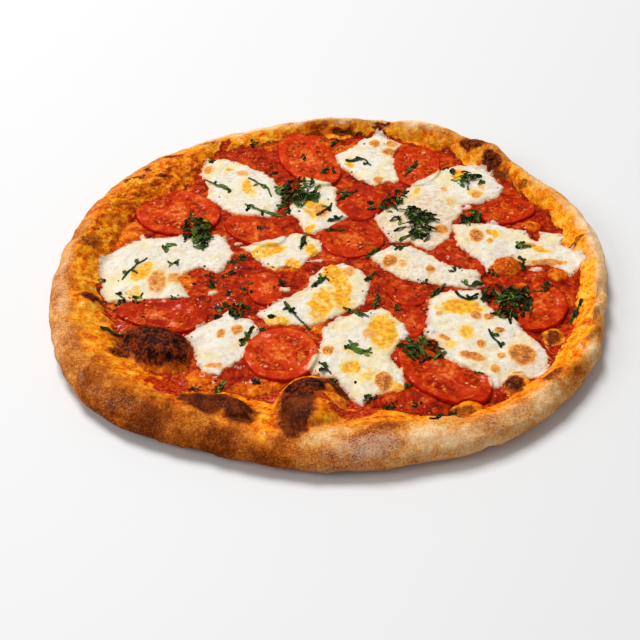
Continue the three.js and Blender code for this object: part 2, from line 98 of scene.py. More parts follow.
# Where the fire caught the dough: middle, half sizes, turn, how dark, how crumbly.
SCORCHES = [
    (-111, -63, 28, 16, -28, 1.0, 1.0), (-99, -71, 9, 6.5, -35, 0.9, 0.9),
    (-95, -83, 7, 5, 0, 0.3, 0.1), (-132, -70, 8, 6, 0, 0.7, 1.0),
    (-67, -123, 22, 8, -14, 0.94, 0.15), (-57, -132, 10, 7, -20, 0.8, 0.1),
    (-86, -113, 8, 5, -20, 0.95, 0.4), (-18, -109, 15, 8, 10, 1.0, 0.9),
    (-22, -125, 12.5, 17, -4, 0.94, 0.3), (-25, -139, 9, 13, 0, 0.84, 0.1),
    (1, -107, 10, 4, -50, 0.8, 0.7), (27, -146, 9, 6, 5, 0.5, 0.3),
    (74, -130, 11, 7, 25, 0.55, 0.3), (108, -107, 7, 5.5, 35, 0.74, 0.6),
    (129, -111, 8, 5, 45, 0.62, 0.5), (137, -67, 7, 5.5, 30, 0.7, 0.3),
    (111, 128, 12, 4.5, -34, 0.74, 0.8), (122, 110, 9, 5, -50, 0.78, 0.9),
    (129, 98, 7, 3, -50, 0.6, 1.0), (140, 84, 5, 2.5, -50, 0.55, 1.0),
    (115, 106, 6, 2.5, -40, 0.55, 1.0), (-154, -20, 9, 6, 5, 0.86, 1.0),
    (-161, 34, 7, 8, 0, 0.5, 1.0), (-129, 115, 3, 3, 0, 0.8, 1.0),
    (-112, 133, 6, 2.5, -10, 0.7, 1.0), (-115, 109, 8, 2, 10, 0.68, 1.0),
    (-134, 104, 6, 2, 10, 0.66, 1.0), (-142, 100, 4, 3, 0, 0.62, 1.0),
    (-24, 171, 8, 3, 0, 0.36, 0.6), (-4, 168, 8, 2, 0, 0.42, 1.0),
    (16, 163, 9, 3, -5, 0.68, 1.0), (44, 162, 8, 2, 0, 0.6, 1.0),
    (-86, 152, 8, 2.5, 15, 0.45, 1.0), (164, 18, 9, 2.5, 5, 0.5, 0.5)]

# How brown the dry outer face is, every 15 degrees from +X, 0 being pale and 1 black, and
# how much flour clings to it. Both also hold painted light and shade: the near side is painted
# darker as shade, and the face towards +X paler as light, than browning and flour make them.
BROWNED_AND_SHADED = [
    0.08, 0.18, 0.27, 0.31, 0.22, 0.14, 0.14, 0.18, 0.24, 0.3, 0.38, 0.42,
    0.46, 0.46, 0.53, 0.55, 0.54, 0.58, 0.5, 0.31, 0.25, 0.28, 0.3, 0.16]
FLOURED_AND_LIT = [
    0.65, 0.5, 0.4, 0.5, 0.5, 0.4, 0.3, 0.3, 0.3, 0.3, 0.35, 0.5,
    0.82, 0.72, 0.4, 0.15, 0, 0.05, 0.5, 0.65, 0.75, 0.45, 0.12, 0.45]
# Places browner than the rest: middle, half sizes, turn, strength.
BROWN_PATCHES = [
    (-78, -150, 14, 7, -15, 0.16), (-118, -126, 22, 8, -40, 0.16), (18, -158, 20, 8, 5, 0.25),
    (67, -146, 9, 5, 15, 0.2), (88, -144, 10, 6, 20, 0.2), (110, -132, 10, 5, 35, 0.22),
    (138, -104, 14, 8, 45, 0.26), (161, -70, 8, 15, -28, 0.2), (118, 116, 22, 12, -44, 0.24),
    (80, 152, 16, 8, -25, 0.12), (-165, 40, 10, 18, 0, 0.12), (92, -128, 9, 5, 22, 0.2)]
# Paler places: some are the dough's own tone, and those at the front of the rim, below its
# blisters, are painted highlights.
PALE_AND_LIT_PATCHES = [
    (-8, -149, 13, 7, 8, 0.4), (-42, -146, 9, 8, -10, 0.25), (48, -151, 12, 5, 8, 0.26),
    (120, -128, 12, 6, 42, 0.2), (-172, -44, 9, 22, 10, 0.1), (154, -84, 9, 7, 60, 0.2),
    (78, 156, 16, 7, -22, 0.25)]
# Smudges of flour.
FLOUR_PATCHES = [
    (-122, -117, 12, 8, -35, 0.25), (-79, -143, 8, 7, 0, 0.2), (14, -158, 28, 7, 5, 0.5),
    (96, -136, 14, 7, 30, 0.4), (152, -92, 14, 10, 55, 0.2)]

# How far the oil has crept up the rim, every 15 degrees from +X, 1 being the crest.
OIL_CREPT = [
    0.85, 0.85, 0.85, 0.8, 0.7, 0.65, 0.7, 0.95, 1.2, 1.3, 1.25, 1.1,
    0.9, 0.95, 0.85, 0.75, 0.8, 1.1, 0.75, 0.6, 0.6, 0.82, 1.15, 0.98]
# Rich yellow spots in the oily dough: middle, half sizes, turn.
YELLOW_SPOTS = [
    (-158, -42, 11, 14, 0), (-152, 2, 8, 12, 0), (-46, -138, 8, 14, -12),
    (136, -79, 9, 12, -30), (118, -98, 10, 6, 30), (60, -122, 14, 5, 12), (-60, -106, 9, 5, 0),
    (-130, 105, 14, 8, 35), (-80, 150, 18, 7, 20), (-41, 162, 14, 9, 8), (52, 160, 22, 7, -10),
    (164, -26, 10, 34, -10), (168, 28, 9, 26, 10), (152, 82, 10, 26, 32),
    (152, -72, 10, 16, -35), (110, 122, 20, 8, -42)]
# Deeper orange, where sauce has soaked into the dough: the same, and its strength.
AMBER_SPOTS = [
    (-84, -106, 34, 13, -22, 1.0), (-46, -140, 15, 10, -15, 0.5),
    (-124, 102, 46, 18, 46, 0.65), (-40, 163, 44, 9, 8, 0.4), (0, -125, 12, 13, 0, 0.5)]
# Creases of the rim: from, to, how wide and how deep.
CREASES = [
    (180, -28, 149, -62, 5, 3.0), (175, -50, 145, -82, 5, 3.0), (167, -72, 140, -98, 4, 2.4),
    (170, 24, 150, 20, 3, 2.4), (-50, -118, -47, -150, 4, 1.6), (-33, -118, -36, -140, 3, 1.2),
    (-84, -100, -94, -118, 4, 1.2), (120, 96, 146, 112, 3.5, 1.2),
    (-150, -8, -176, -22, 3.5, 1.0), (44, -128, 52, -150, 4, 0.9)]

# Red sauce that ran over the dough: middle, half sizes, turn.
SAUCE_SMEARS = [
    (-107, -94, 6, 5, -10), (-99, -103, 9, 6.5, 0), (-9, -120, 6, 4, -40),
    (0, -128, 4.5, 4, 0), (12, -128, 12, 6, 10), (-88, -101, 5, 4, 0), (-75, 149, 3, 9, -35)]

SPOKES = 1000
SLOPE_ROWS, SHOULDER_ROWS, UNDERSIDE_ROWS = 58, 18, 12


def rounded(a, b, c, d, t):
    """The point a share t of the way from b to c on a smooth curve through all four."""
    return b + 0.5 * t * (c - a + t * (2 * a - 5 * b + 4 * c - d + t * (3 * (b - c) + d - a)))


def around(values, angle):
    """Reads a ring of evenly spaced values at any angle, rounded between its entries."""
    values = np.asarray(values, float)
    place = np.mod(angle / math.tau, 1) * len(values)
    first = np.floor(place).astype(int)
    beside = (values[(first + step) % len(values)] for step in (-1, 0, 1, 2))
    return rounded(*beside, place - first)


def toward(angle):
    """Steps of one millimetre in the given directions."""
    return np.stack([np.cos(angle), np.sin(angle)], -1)




def swell(x, y, length, seed):
    """Gentle unevenness between -1 and 1, with swells about `length` across."""
    total = 0
    for k in range(4):
        way, pace = 2.4 * k + seed, math.tau / (length * (1 + 0.23 * k))
        total += np.sin((x * math.cos(way) + y * math.sin(way)) * pace + 1.7 * seed * (k + 1))
    return total / 4


def uneven(points, size, seed):
    """Random relief from -1 to 1 at points in space, with lumps of the given size."""
    rng = np.random.default_rng(seed)
    count = 1024
    order = rng.permutation(count)
    slopes = rng.normal(size=(count, 3))
    slopes /= np.linalg.norm(slopes, axis=1)[:, None]
    points = np.asarray(points, float)
    place = points.reshape(-1, points.shape[-1]) / size
    if place.shape[1] == 2:
        place = np.column_stack([place, np.full(len(place), 0.37)])
    cell = np.floor(place).astype(int)
    part = place - cell
    fade = part ** 3 * (part * (part * 6 - 15) + 10)
    total = np.zeros(len(place))
    for corner in itertools.product((0, 1), repeat=3):
        i, j, k = (cell + corner).T
        pick = order[(order[(order[i % count] + j) % count] + k) % count]
        weight = np.where(corner, fade, 1 - fade).prod(1)
        total += weight * ((part - corner) * slopes[pick]).sum(1)
    return 1.7 * total.reshape(points.shape[:-1])


def scattered(xy, size, seed):
    """Nearest of many scattered points: distance in spacings, and the point's own draw."""
    rng = np.random.default_rng(seed)
    count = 512
    order = rng.permutation(count)
    shift, draw = rng.random((count, 2)), rng.random(count)
    place = np.asarray(xy, float)[:, :2] / size
    cell = np.floor(place).astype(int)
    nearest, own = np.full(len(place), 9.0), np.zeros(len(place))
    for step in itertools.product((-1, 0, 1), repeat=2):
        i, j = (cell + step).T
        pick = order[(order[i % count] + j) % count]
        away = np.linalg.norm(cell + step + shift[pick] - place, axis=1)
        own = np.where(away < nearest, draw[pick], own)
        nearest = np.minimum(nearest, away)
    return nearest, own


def domes(xy, size, seed, share=1.0):
    """Small round bubbles, 1 at their tops and 0 between them."""
    nearest, own = scattered(xy, size, seed)
    reach = 0.25 + 0.3 * own
    return np.where(own < share, np.clip(1 - (nearest / reach) ** 2, 0, 1) ** 0.7, 0)


def ease(value, low, high):
    """Rises smoothly from 0 at `low` to 1 at `high`."""
    t = np.clip((value - low) / (high - low), 0, 1)
    return t * t * (3 - 2 * t)


def oval(x, y, middle_x, middle_y, half_long, half_wide, turn):
    """Distance from an oval's middle, 1 on its outline."""
    c, s = math.cos(math.radians(turn)), math.sin(math.radians(turn))
    dx, dy = x - middle_x, y - middle_y
    return np.hypot((dx * c + dy * s) / half_long, (dy * c - dx * s) / half_wide)


def strongest(x, y, patches, soft=0.35):
    """The strongest of some oval patches at a point; one without a strength has strength 1."""
    found = np.zeros(np.shape(x))
    for patch in patches:
        strength = (*patch, 1)[5]
        inside = 1 - ease(oval(x, y, *patch[:5]), 1 - soft, 1 + soft)
        found = np.maximum(found, inside * strength)
    return found


def creased(x, y, creases):
    """Depth of some creases, each a soft groove along a line, at a point."""
    found = np.zeros(np.shape(x))
    for x1, y1, x2, y2, width, deep in creases:
        along_x, along_y = x2 - x1, y2 - y1
        t = ((x - x1) * along_x + (y - y1) * along_y) / (along_x ** 2 + along_y ** 2)
        t = np.clip(t, 0, 1)
        away = np.hypot(x - x1 - t * along_x, y - y1 - t * along_y) / width
        fading = np.sin(math.pi * (0.1 + 0.8 * t))
        found = np.maximum(found, deep * np.exp(-away ** 2) * fading)
    return found


def rim(angle):
    """The rim in one direction: where it starts, its crest, its reach and its height."""
    outer, inner = around(OUTLINE, angle), around(SAUCE_REACH, angle)
    crest = outer - CREST_BACK - CREST_SHARE * (outer - inner)
    wobble = swell(outer * np.cos(angle), outer * np.sin(angle), 90, 2)
    return inner, crest, outer, around(RIM_HEIGHTS, angle) + RIM_WOBBLE * wobble


def bubbled(x, y, blisters):
    """Height that a set of blisters adds at a point."""
    height = np.zeros(np.shape(x))
    for *place, rise in blisters:
        inside = np.clip(1 - oval(x, y, *place) ** 2, 0, 1)
        height = np.maximum(height, rise * inside ** 0.8)
    return height


def dough_top(angle, radius):
    """Height of the bare dough, from the edge of the floor to the crest of the rim."""
    inner, crest, _, height = rim(angle)
    climb = np.clip((radius - inner) / (crest - inner), 0, 1)
    blown = bubbled(radius * np.cos(angle), radius * np.sin(angle), RIM_BLISTERS)
    return FLOOR + (height - FLOOR) * (1 - (1 - climb) ** 1.6) + blown


EDGE_ANGLES = np.linspace(0, math.tau, 240, endpoint=False)
EDGE_STEEPNESS = 1.1  # how fast the edge may come back out beside such a blister


def pushed_edge(angle):
    """Edge of the flat floor, which a blister of the rim may push inwards."""
    radius = float(rim(angle)[0])
    while bubbled(radius * math.cos(angle), radius * math.sin(angle), RIM_BLISTERS) > 0:
        radius -= 0.5
    return radius


pushed = np.array([pushed_edge(angle) for angle in EDGE_ANGLES])
turns = EDGE_ANGLES[:, None] - EDGE_ANGLES[None, :]
apart = np.abs(np.arctan2(np.sin(turns), np.cos(turns)))
eased_edges = (pushed[None, :] * (1 + EDGE_STEEPNESS * apart)).min(1)


def floor_edge(angle):
    """Distance from the middle at which the floor ends and the rim starts to climb."""
    return around(eased_edges, angle)


# The tables are measured from the middle of the dough; the model stands on the middle of
# its box.
MODEL_SPOKES = 108  # corners of the model's outline
ways = np.linspace(0, math.tau, MODEL_SPOKES, endpoint=False)
outline_points = toward(ways) * around(OUTLINE, ways)[:, None]
SHIFT = -(outline_points.min(0) + outline_points.max(0)) / 2


def shade(red, green, blue):
    """A colour as seen on a screen, 0 to 255, in the units that a shader takes."""
    linear = [c / 12.92 if c <= 0.04045 else ((c + 0.055) / 1.055) ** 2.4
              for c in (red / 255, green / 255, blue / 255)]
    return (*linear, 1)


class Wire:
    """The value at a socket, so that the maths of a finish reads as plain sums."""

    def __init__(self, finish, socket):
        self.finish, self.socket = finish, socket

    def sum(self, operation, *values):
        return self.finish.node("Math", {"operation": operation}, dict(enumerate(values)))

    def __add__(self, other):
        return self.sum("ADD", self, other)

    def __sub__(self, other):
        return self.sum("SUBTRACT", self, other)

    def __rsub__(self, other):
        return self.sum("SUBTRACT", other, self)

    def __mul__(self, other):
        return self.sum("MULTIPLY", self, other)

    __radd__, __rmul__ = __add__, __mul__

    def rising(self, low, high):
        """0 below `low`, 1 above `high`, smooth between."""
        return self.finish.node("MapRange", {"interpolation_type": "SMOOTHSTEP"},
                                {0: self, 1: low, 2: high})


class Finish:
    """A material: the look of one kind of food."""

    def __init__(self, name, **constants):
        self.material = bpy.data.materials.new(name)
        self.material.use_nodes = True
        self.tree = self.material.node_tree
        self.shader = next(n for n in self.tree.nodes if n.type == "BSDF_PRINCIPLED")
        for socket, value in constants.items():
            self.shader.inputs[socket.replace("_", " ")].default_value = value

    def node(self, kind, settings=(), sockets=(), out=0):
        node = self.tree.nodes.new("ShaderNode" + kind)
        for key, value in dict(settings).items():
            if key == "stops":
                self.set_stops(node.color_ramp, value)
            else:
                setattr(node, key, value)
        self.fill(node, sockets)
        return Wire(self, node.outputs[out])

    def fill(self, node, sockets):
        for key, value in dict(sockets).items():
            if isinstance(value, Wire):
                self.tree.links.new(value.socket, node.inputs[key])
            else:
                node.inputs[key].default_value = value

    def set_stops(self, ramp, stops):
        while len(ramp.elements) < len(stops):
            ramp.elements.new(1)
        for element, (place, colour) in zip(ramp.elements, stops):
            element.position, element.color = place, colour

    def place(self):
        return self.node("TexCoord", out="Object")

    def mark(self, name):
        """A value painted on the mesh."""
        return self.node("Attribute", {"attribute_name": name}, out="Fac")

    def grain(self, size, detail=2.0, rough=0.5, stretch=0.0):
        """Noise from 0 to 1 with lumps of the given size in millimetres."""
        return self.node("TexNoise", {}, {"Vector": self.place(), "Scale": 1 / (size * MM),
                                          "Detail": detail, "Roughness": rough,
                                          "Distortion": stretch})

    def ripple(self, strength, size, detail=2.0, rough=0.5):
        """The same noise swinging round 0, to roughen the edge of a mask."""
        return (self.grain(size, detail, rough) - 0.5) * strength

    def cells(self, size):
        """Distance from the nearest of many scattered points."""
        return self.node("TexVoronoi", {}, {"Vector": self.place(), "Scale": 1 / (size * MM)},
                         out="Distance")

    def ramp(self, value, *stops):
        """Colours along a value, each stop a place and a colour as seen on a screen."""
        return self.node("ValToRGB", {"stops": [(place, shade(*colour))
                                                for place, *colour in stops]}, {0: value})

    def mix(self, mask, first, second):
        return self.node("Mix", {"data_type": "RGBA"}, {0: mask, 6: first, 7: second}, out=2)

    def surface(self, colour, roughness, height, depth, **others):
        """Joins colour, roughness and a relief of the given depth in millimetres."""
        normal = self.node("Bump", {}, {"Height": height, "Distance": depth * MM,
                                        "Strength": 1.0})
        self.fill(self.shader, {"Base Color": colour, "Roughness": roughness,
                                "Normal": normal})
        self.fill(self.shader, {key.replace("_", " "): v for key, v in others.items()})


def make(name, points, faces, finish, marks=(), nodes=()):
    """A piece from points in millimetres about the middle of the dough."""
    placed = np.array(points, float)
    placed[:, :2] += SHIFT
    mesh = bpy.data.meshes.new(name)
    mesh.from_pydata((placed * MM).tolist(), [], [tuple(map(int, face)) for face in faces])
    for mark, values in dict(marks).items():
        layer = mesh.attributes.new(mark, "FLOAT", "POINT")
        layer.data.foreach_set("value", np.ascontiguousarray(values, np.float32))
    mesh.materials.append(finish.material)
    mesh.shade_smooth()
    piece = bpy.data.objects.new(name, mesh)
    bpy.context.scene.collection.objects.link(piece)
    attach(piece, "root")
    if nodes:
        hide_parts(*nodes)
    return piece


def grid_faces(rows, spokes, first=0):
    """Quads of a grid of rings, each ring closed on itself, rows running away from the top."""
    i, j = np.meshgrid(np.arange(rows - 1), np.arange(spokes), indexing="ij")
    k = (j + 1) % spokes
    corners = [i * spokes + j, (i + 1) * spokes + j, (i + 1) * spokes + k, i * spokes + k]
    return (np.stack(corners, -1).reshape(-1, 4) + first).tolist()


def capped(rings, top, bottom):
    """A closed body from rings (rows, spokes, 3) between a top and a bottom middle point."""
    rows, spokes, _ = rings.shape
    points = np.concatenate([[top], rings.reshape(-1, 3), [bottom]])
    faces = grid_faces(rows, spokes, 1)
    last = len(points) - 1
    for j in range(spokes):
        k = (j + 1) % spokes
        faces.append((0, 1 + j, 1 + k))
        faces.append((last, last - spokes + k, last - spokes + j))
    return points, faces


def crust_rings():
    """The bare form of the dough, and how far along its profile each ring lies: up to 0 on
    the flat floor, 1 on the crest, 2 where the rim is widest and 3 where it touches down."""
    angle = np.linspace(0, math.tau, SPOKES, endpoint=False)
    inner, crest, outer, _ = rim(angle)
    edge = floor_edge(angle)
    rings, along = [], []

    def add(radius, height, step):
        rings.append(np.stack([radius * np.cos(angle), radius * np.sin(angle),
                               np.broadcast_to(height, angle.shape)], 1))
        along.append(np.full(SPOKES, step))

    for share in (0.4, 0.75, 0.92, 0.98):
        add(edge * share, FLOOR, -1 + share)
    for step in np.linspace(0, 1, SLOPE_ROWS):
        radius = edge + (crest - edge) * step
        add(radius, dough_top(angle, radius) if step else FLOOR, step)
    top = dough_top(angle, crest)
    for step in np.linspace(0, 1, SHOULDER_ROWS)[1:]:
        turn = step * math.pi / 2
        add(crest + (outer - crest) * math.sin(turn),
            RIM_WIDEST + (top - RIM_WIDEST) * math.cos(turn) ** 0.9, 1 + step)
    for step in np.linspace(0, 1, UNDERSIDE_ROWS)[1:]:
        turn = step * math.pi / 2
        add(outer - RIM_TUCK * (1 - math.cos(turn)), RIM_WIDEST * (1 - math.sin(turn)),
            2 + step)
    for share in (0.985, 0.93, 0.75, 0.4):
        add((outer - RIM_TUCK) * share, 0, 4 - share)
    return np.array(rings), np.array(along)


def outward(rings):
    """Unit normals of a grid of closed rings."""
    across = np.roll(rings, -1, 1) - np.roll(rings, 1, 1)
    down = np.gradient(rings, axis=0)
    normal = np.cross(down, across)
    return normal / np.maximum(np.linalg.norm(normal, axis=2, keepdims=True), 1e-9)


rings, along = crust_rings()
flat = rings.reshape(-1, 3)
profile = along.reshape(-1)
x, y, z = flat.T
crust_angle = np.arctan2(y, x)
rim_inner, rim_crest, *_ = rim(crust_angle)
climb = (np.hypot(x, y) - rim_inner) / (rim_crest - rim_inner)

# Patches are looked up a little to and fro of each point, which roughens their outlines.
shifted_x = x + 2.4 * uneven(flat, 9, 1) + 1.5 * uneven(flat, 3.8, 8)
shifted_y = y + 2.4 * uneven(flat, 9, 2) + 1.5 * uneven(flat, 3.8, 9)


def on_crust(patches, soft=0.35):
    return strongest(shifted_x, shifted_y, patches, soft)


above = profile < 1.75  # the outer face below it never reaches the fire
scorch = on_crust(SCORCHES, 0.4) * above
crumbly = strongest(x, y, [(at_x, at_y, 1.3 * half_long, 1.3 * half_wide, turn, crumb)
                           for at_x, at_y, half_long, half_wide, turn, _, crumb in SCORCHES],
                    0.2)
crept = around(OIL_CREPT, crust_angle)
oily = 1 - ease(climb + 0.26 * uneven(flat, 16, 3) + 0.14 * uneven(flat, 6, 4), crept - 0.45,
                crept + 0.35)
oily *= 1 - ease(profile, 1.2, 1.6)
FAR_LEFT, FAR_LEFT_SPAN = 142, 50  # direction and half width in degrees of a cobbled stretch
far_left = np.clip(1 - np.abs(np.degrees(crust_angle) - FAR_LEFT) / FAR_LEFT_SPAN, 0, 1) ** 0.5
blister = ease(bubbled(x, y, RIM_BLISTERS), 0.2, 1.2)

# Relief, along the normal: swells, blown pores on the oily slope, crags on the char.
grooves = creased(x, y, CREASES)
swells = (0.9 * uneven(flat, 24, 11) + 0.8 * uneven(flat, 11, 12)
          + far_left * 0.9 * uneven(flat, 17, 10) - grooves)
fine = 0.3 * uneven(flat, 5, 13) + 0.18 * uneven(flat, 2.6, 14)
pores = ((0.9 * domes(flat, 8, 15, 0.6) + 0.5 * domes(flat, 4.2, 16, 0.7))
         * (0.35 + 1.1 * far_left))
crags = 0.4 * uneven(flat, 2.4, 17) + 0.35 * domes(flat, 3.1, 18, 0.8)
relief = swells + fine + pores * oily + crags * ease(scorch, 0.3, 0.7) * (0.3 + 0.9 * crumbly)
# The outer face stays inside the model, and the floor and the underside stay flat.
outer_face = ease(profile, 0.9, 1.4)
relief = relief * (1 - outer_face) + outer_face * (np.minimum(relief, 1.0) - 1.1)
held = ease(profile, -0.02, 0.1) * (1 - ease(profile, 2.4, 3.0))
moved = rings + outward(rings) * (relief * held).reshape(along.shape)[..., None]
moved[..., 2] = np.maximum(moved[..., 2], 0)
over = np.maximum(moved[..., 2] - (TALLEST - 1), 0)
moved[..., 2] += 1 - np.exp(-over) - over

sauce_line = climb + 0.16 * uneven(flat, 9, 6) + 0.12 * uneven(flat, 3.5, 7)
near_sauce = 1 - ease(sauce_line, -0.04, 0.2)
red = np.maximum(on_crust(SAUCE_SMEARS), near_sauce * (1 - blister)) * (profile < 1)

dry_face = ease(profile, 0.6, 1.2)
# Browning, with painted shade round the near side of the rim and painted highlights in the
# pale patches.
bake = (around(BROWNED_AND_SHADED, crust_angle) + 0.15 * uneven(flat, 24, 21)
        + 0.11 * uneven(flat, 11, 22) + 0.07 * uneven(flat, 5, 23)
        + 0.7 * on_crust(BROWN_PATCHES, 0.7) - 0.9 * on_crust(PALE_AND_LIT_PATCHES, 0.7))
# Browner below the rim's widest point; the creases are painted browner, as painted shade.
bake += 0.1 * ease(profile, 1.7, 2.3) + 0.04 * grooves
bake = np.where(profile > 3, 0.45 + 0.2 * uneven(flat, 12, 24), bake)
# Flour, with painted light: the face towards +X is painted paler.
flour = dry_face * (around(FLOURED_AND_LIT, crust_angle) + 0.3 * uneven(flat, 12, 25)
                    + 0.2 * uneven(flat, 5, 28) + 0.2 * ease(z, 9, 3)
                    + on_crust(FLOUR_PATCHES, 0.6))
# Rich yellow, partly painted light and shade: the tops of lumps and pores are painted yellower
# and the creases a deeper orange.
yellow = (0.8 * on_crust(YELLOW_SPOTS, 0.7)
          + 0.5 * uneven(flat, 10, 26) + 0.35 * uneven(flat, 4, 27)
          + fine / 0.3 * (0.25 + 0.15 * far_left) + pores * 0.5 - 0.2 * grooves - 0.05
          - on_crust(AMBER_SPOTS, 0.6))

crust = Finish("baked_dough", Specular_IOR_Level=0.04, Coat_Roughness=0.16, Coat_IOR=1.4)
speckle = crust.grain(0.95, 2, 0.6)
# The browning from the mesh, with its painted shade and light.
baked_and_shaded = (crust.mark("bake") + (speckle - 0.5) * 0.65 + crust.ripple(0.42, 2.2, 3)
         + crust.ripple(0.35, 8, 3))
dry = crust.ramp(baked_and_shaded, (0.0, 244, 212, 168), (0.18, 232, 182, 120), (0.32, 220, 146, 62),
                 (0.46, 192, 106, 28), (0.6, 156, 74, 14), (0.76, 112, 46, 8),
                 (1.0, 56, 22, 6))
soak = (crust.grain(5, 4, 0.6) * 0.6 + crust.grain(1.4, 3, 0.6) * 0.4
        + crust.mark("yellow") * 0.085)
golden = crust.ramp(soak, (0.33, 132, 42, 3), (0.4, 200, 82, 4), (0.47, 234, 114, 4),
                    (0.54, 247, 154, 14), (0.64, 252, 194, 66))
skin = crust.mix((crust.mark("oily") + crust.ripple(0.7, 3, 3)).rising(0.05, 0.9), dry, golden)
reddened = (crust.mark("red") + crust.ripple(0.8, 2.2, 3)).rising(0.35, 0.65)
skin = crust.mix(reddened, skin, crust.ramp(crust.grain(2, 3), (0.38, 134, 20, 3),
                                            (0.5, 178, 40, 5), (0.62, 206, 78, 14)))
pits = crust.cells(2.6).rising(0.34, 0.2) * crust.grain(7, 3, 0.6).rising(0.47, 0.58)
burnt = (crust.mark("scorch") + crust.ripple(0.9, 2.8, 4, 0.65) + crust.ripple(0.35, 1.0, 2)
         + pits * crust.mark("pitted") * 0.75)
skin = crust.mix(burnt.rising(0.1, 0.5) * 0.7, skin,
                 crust.ramp(crust.grain(1.5, 3), (0.4, 150, 62, 10), (0.6, 196, 98, 22)))
skin = crust.mix(burnt.rising(0.3, 0.66), skin,
                 crust.ramp(crust.grain(1.5, 3), (0.4, 100, 38, 8), (0.6, 148, 68, 18)))
crumbs = crust.grain(1.9, 4, 0.7) * 0.6 + crust.grain(6, 2) * 0.4
charred = crust.ramp(crumbs, (0.4, 14, 6, 3), (0.47, 46, 15, 5), (0.53, 98, 34, 8),
                     (0.6, 140, 56, 14))
smoked = crust.ramp(crust.grain(9, 3) * 0.6 + crust.grain(1.4, 3) * 0.4, (0.36, 36, 12, 4),
                    (0.48, 76, 26, 6), (0.62, 126, 54, 14))
skin = crust.mix(burnt.rising(0.58, 0.82), skin,
                 crust.mix(crust.mark("crumbly").rising(0.3, 0.8), smoked, charred))
# Flour from the mesh, with the painted light on the face towards +X.
dusted_and_lit = (crust.mark("flour") + crust.ripple(3.0, 0.9, 3, 0.65)).rising(0.4, 1.3) * 0.55
skin = crust.mix(dusted_and_lit * (1 - burnt.rising(0.4, 0.7)), skin, shade(232, 196, 160))
wet = (crust.mark("oily") - 0.3 - crust.mark("scorch")) * crust.grain(4, 3).rising(0.54, 0.62)
tarry = crust.mark("scorch") * crust.grain(2.2, 2).rising(0.64, 0.68)
roughness = 0.8 - crust.mark("oily").rising(0.1, 0.8) * 0.25
texture = speckle * 0.5 + crust.grain(2.4, 3) * 0.5
crust.surface(skin, roughness, texture, 0.5, Coat_Weight=wet * 0.8 + tarry * 0.3)

points, faces = capped(moved, (0, 0, FLOOR), (0, 0, 0))
crust_marks = {"bake": bake, "oily": oily, "red": red, "scorch": scorch, "crumbly": crumbly,
               "flour": flour, "yellow": yellow, "pitted": np.maximum(far_left, 0.25) * oily}
# The two middle points are marked as the rings beside them.
crust_marks = {name: np.concatenate([values[:1], values, values[-1:]])
               for name, values in crust_marks.items()}
make("crust_baked", points, faces, crust, crust_marks, ["crust"])

# ---- sauce ----------------------------------------------------------------------------------
# Cooked tomato sauce with pulp in it, ladled on and spread to the foot of the rim, where it
# thins out and dries. Three bubbles of the dough push it up. Oil has parted from it in places.

SAUCE, SAUCE_FILM = 1.6, 0.12  # depth where it lies full, and at its edge
SAUCE_CELLS = 296  # points along one side of its grid
UNDER_STEP, UNDER_DEPTH = 5, 1.5  # its underside has every fifth point, this deep in the dough
# Bubbles of dough under it: middle, half sizes, turn, rise.
SAUCE_BLISTERS = [
    (118, 0, 11, 10, 0, 4.6), (150, -10, 8, 8, 0, 3.4), (141, 41, 8, 7, 0, 2.8)]
# Pools of orange oil: middle, half sizes, turn, strength.
OIL_POOLS = [
    (-46, -104, 26, 10, 15, 1.0), (-99, -3, 9, 10, 0, 1.15), (-84, -94, 14, 9, 0, 0.9),
    (-140, 40, 12, 30, -10, 0.9), (-120, 98, 30, 16, 35, 0.9), (-20, 150, 30, 8, 0, 0.7),
    (18, 143, 14, 7, 0, 0.8), (-28, 10, 8, 5, 0, 0.6), (-8, -50, 14, 6, -20, 0.8),
    (90, 113, 14, 8, -30, 0.5), (-143, -28, 12, 8, 0, 0.6), (62, -30, 12, 6, 10, 0.5),
    (55, -104, 10, 5, 0, 0.5), (130, -20, 14, 6, 0, 0.35)]

HIGH_ABOVE = 60  # where a fall starts


def struck(tree, x, y):
    """Height at which something that falls at a point lands on a surface, or None."""
    spot = tree.ray_cast(Vector((x, y, HIGH_ABOVE)), Vector((0, 0, -1)))[0]
    return None if spot is None else spot.z


class Pile:
    """Everything laid so far, to find the top of what lies below a point."""

    def __init__(self):
        self.layers = []

    def lay(self, points, faces):
        points = np.asarray(points, float)
        tree = BVHTree.FromPolygons(points.tolist(), [tuple(map(int, f)) for f in faces])
        self.layers.append((tree, points.min(0), points.max(0)))

    def top(self, x, y):
        x, y = np.broadcast_arrays(x, y)
        found = np.zeros(x.size)
        for tree, low, high in self.layers:
            near = ((x.ravel() >= low[0]) & (x.ravel() <= high[0])
                    & (y.ravel() >= low[1]) & (y.ravel() <= high[1]))
            for i in np.flatnonzero(near):
                found[i] = max(found[i], struck(tree, x.flat[i], y.flat[i]) or 0)
        return found.reshape(x.shape)


pile = Pile()
pile.lay(points, faces)

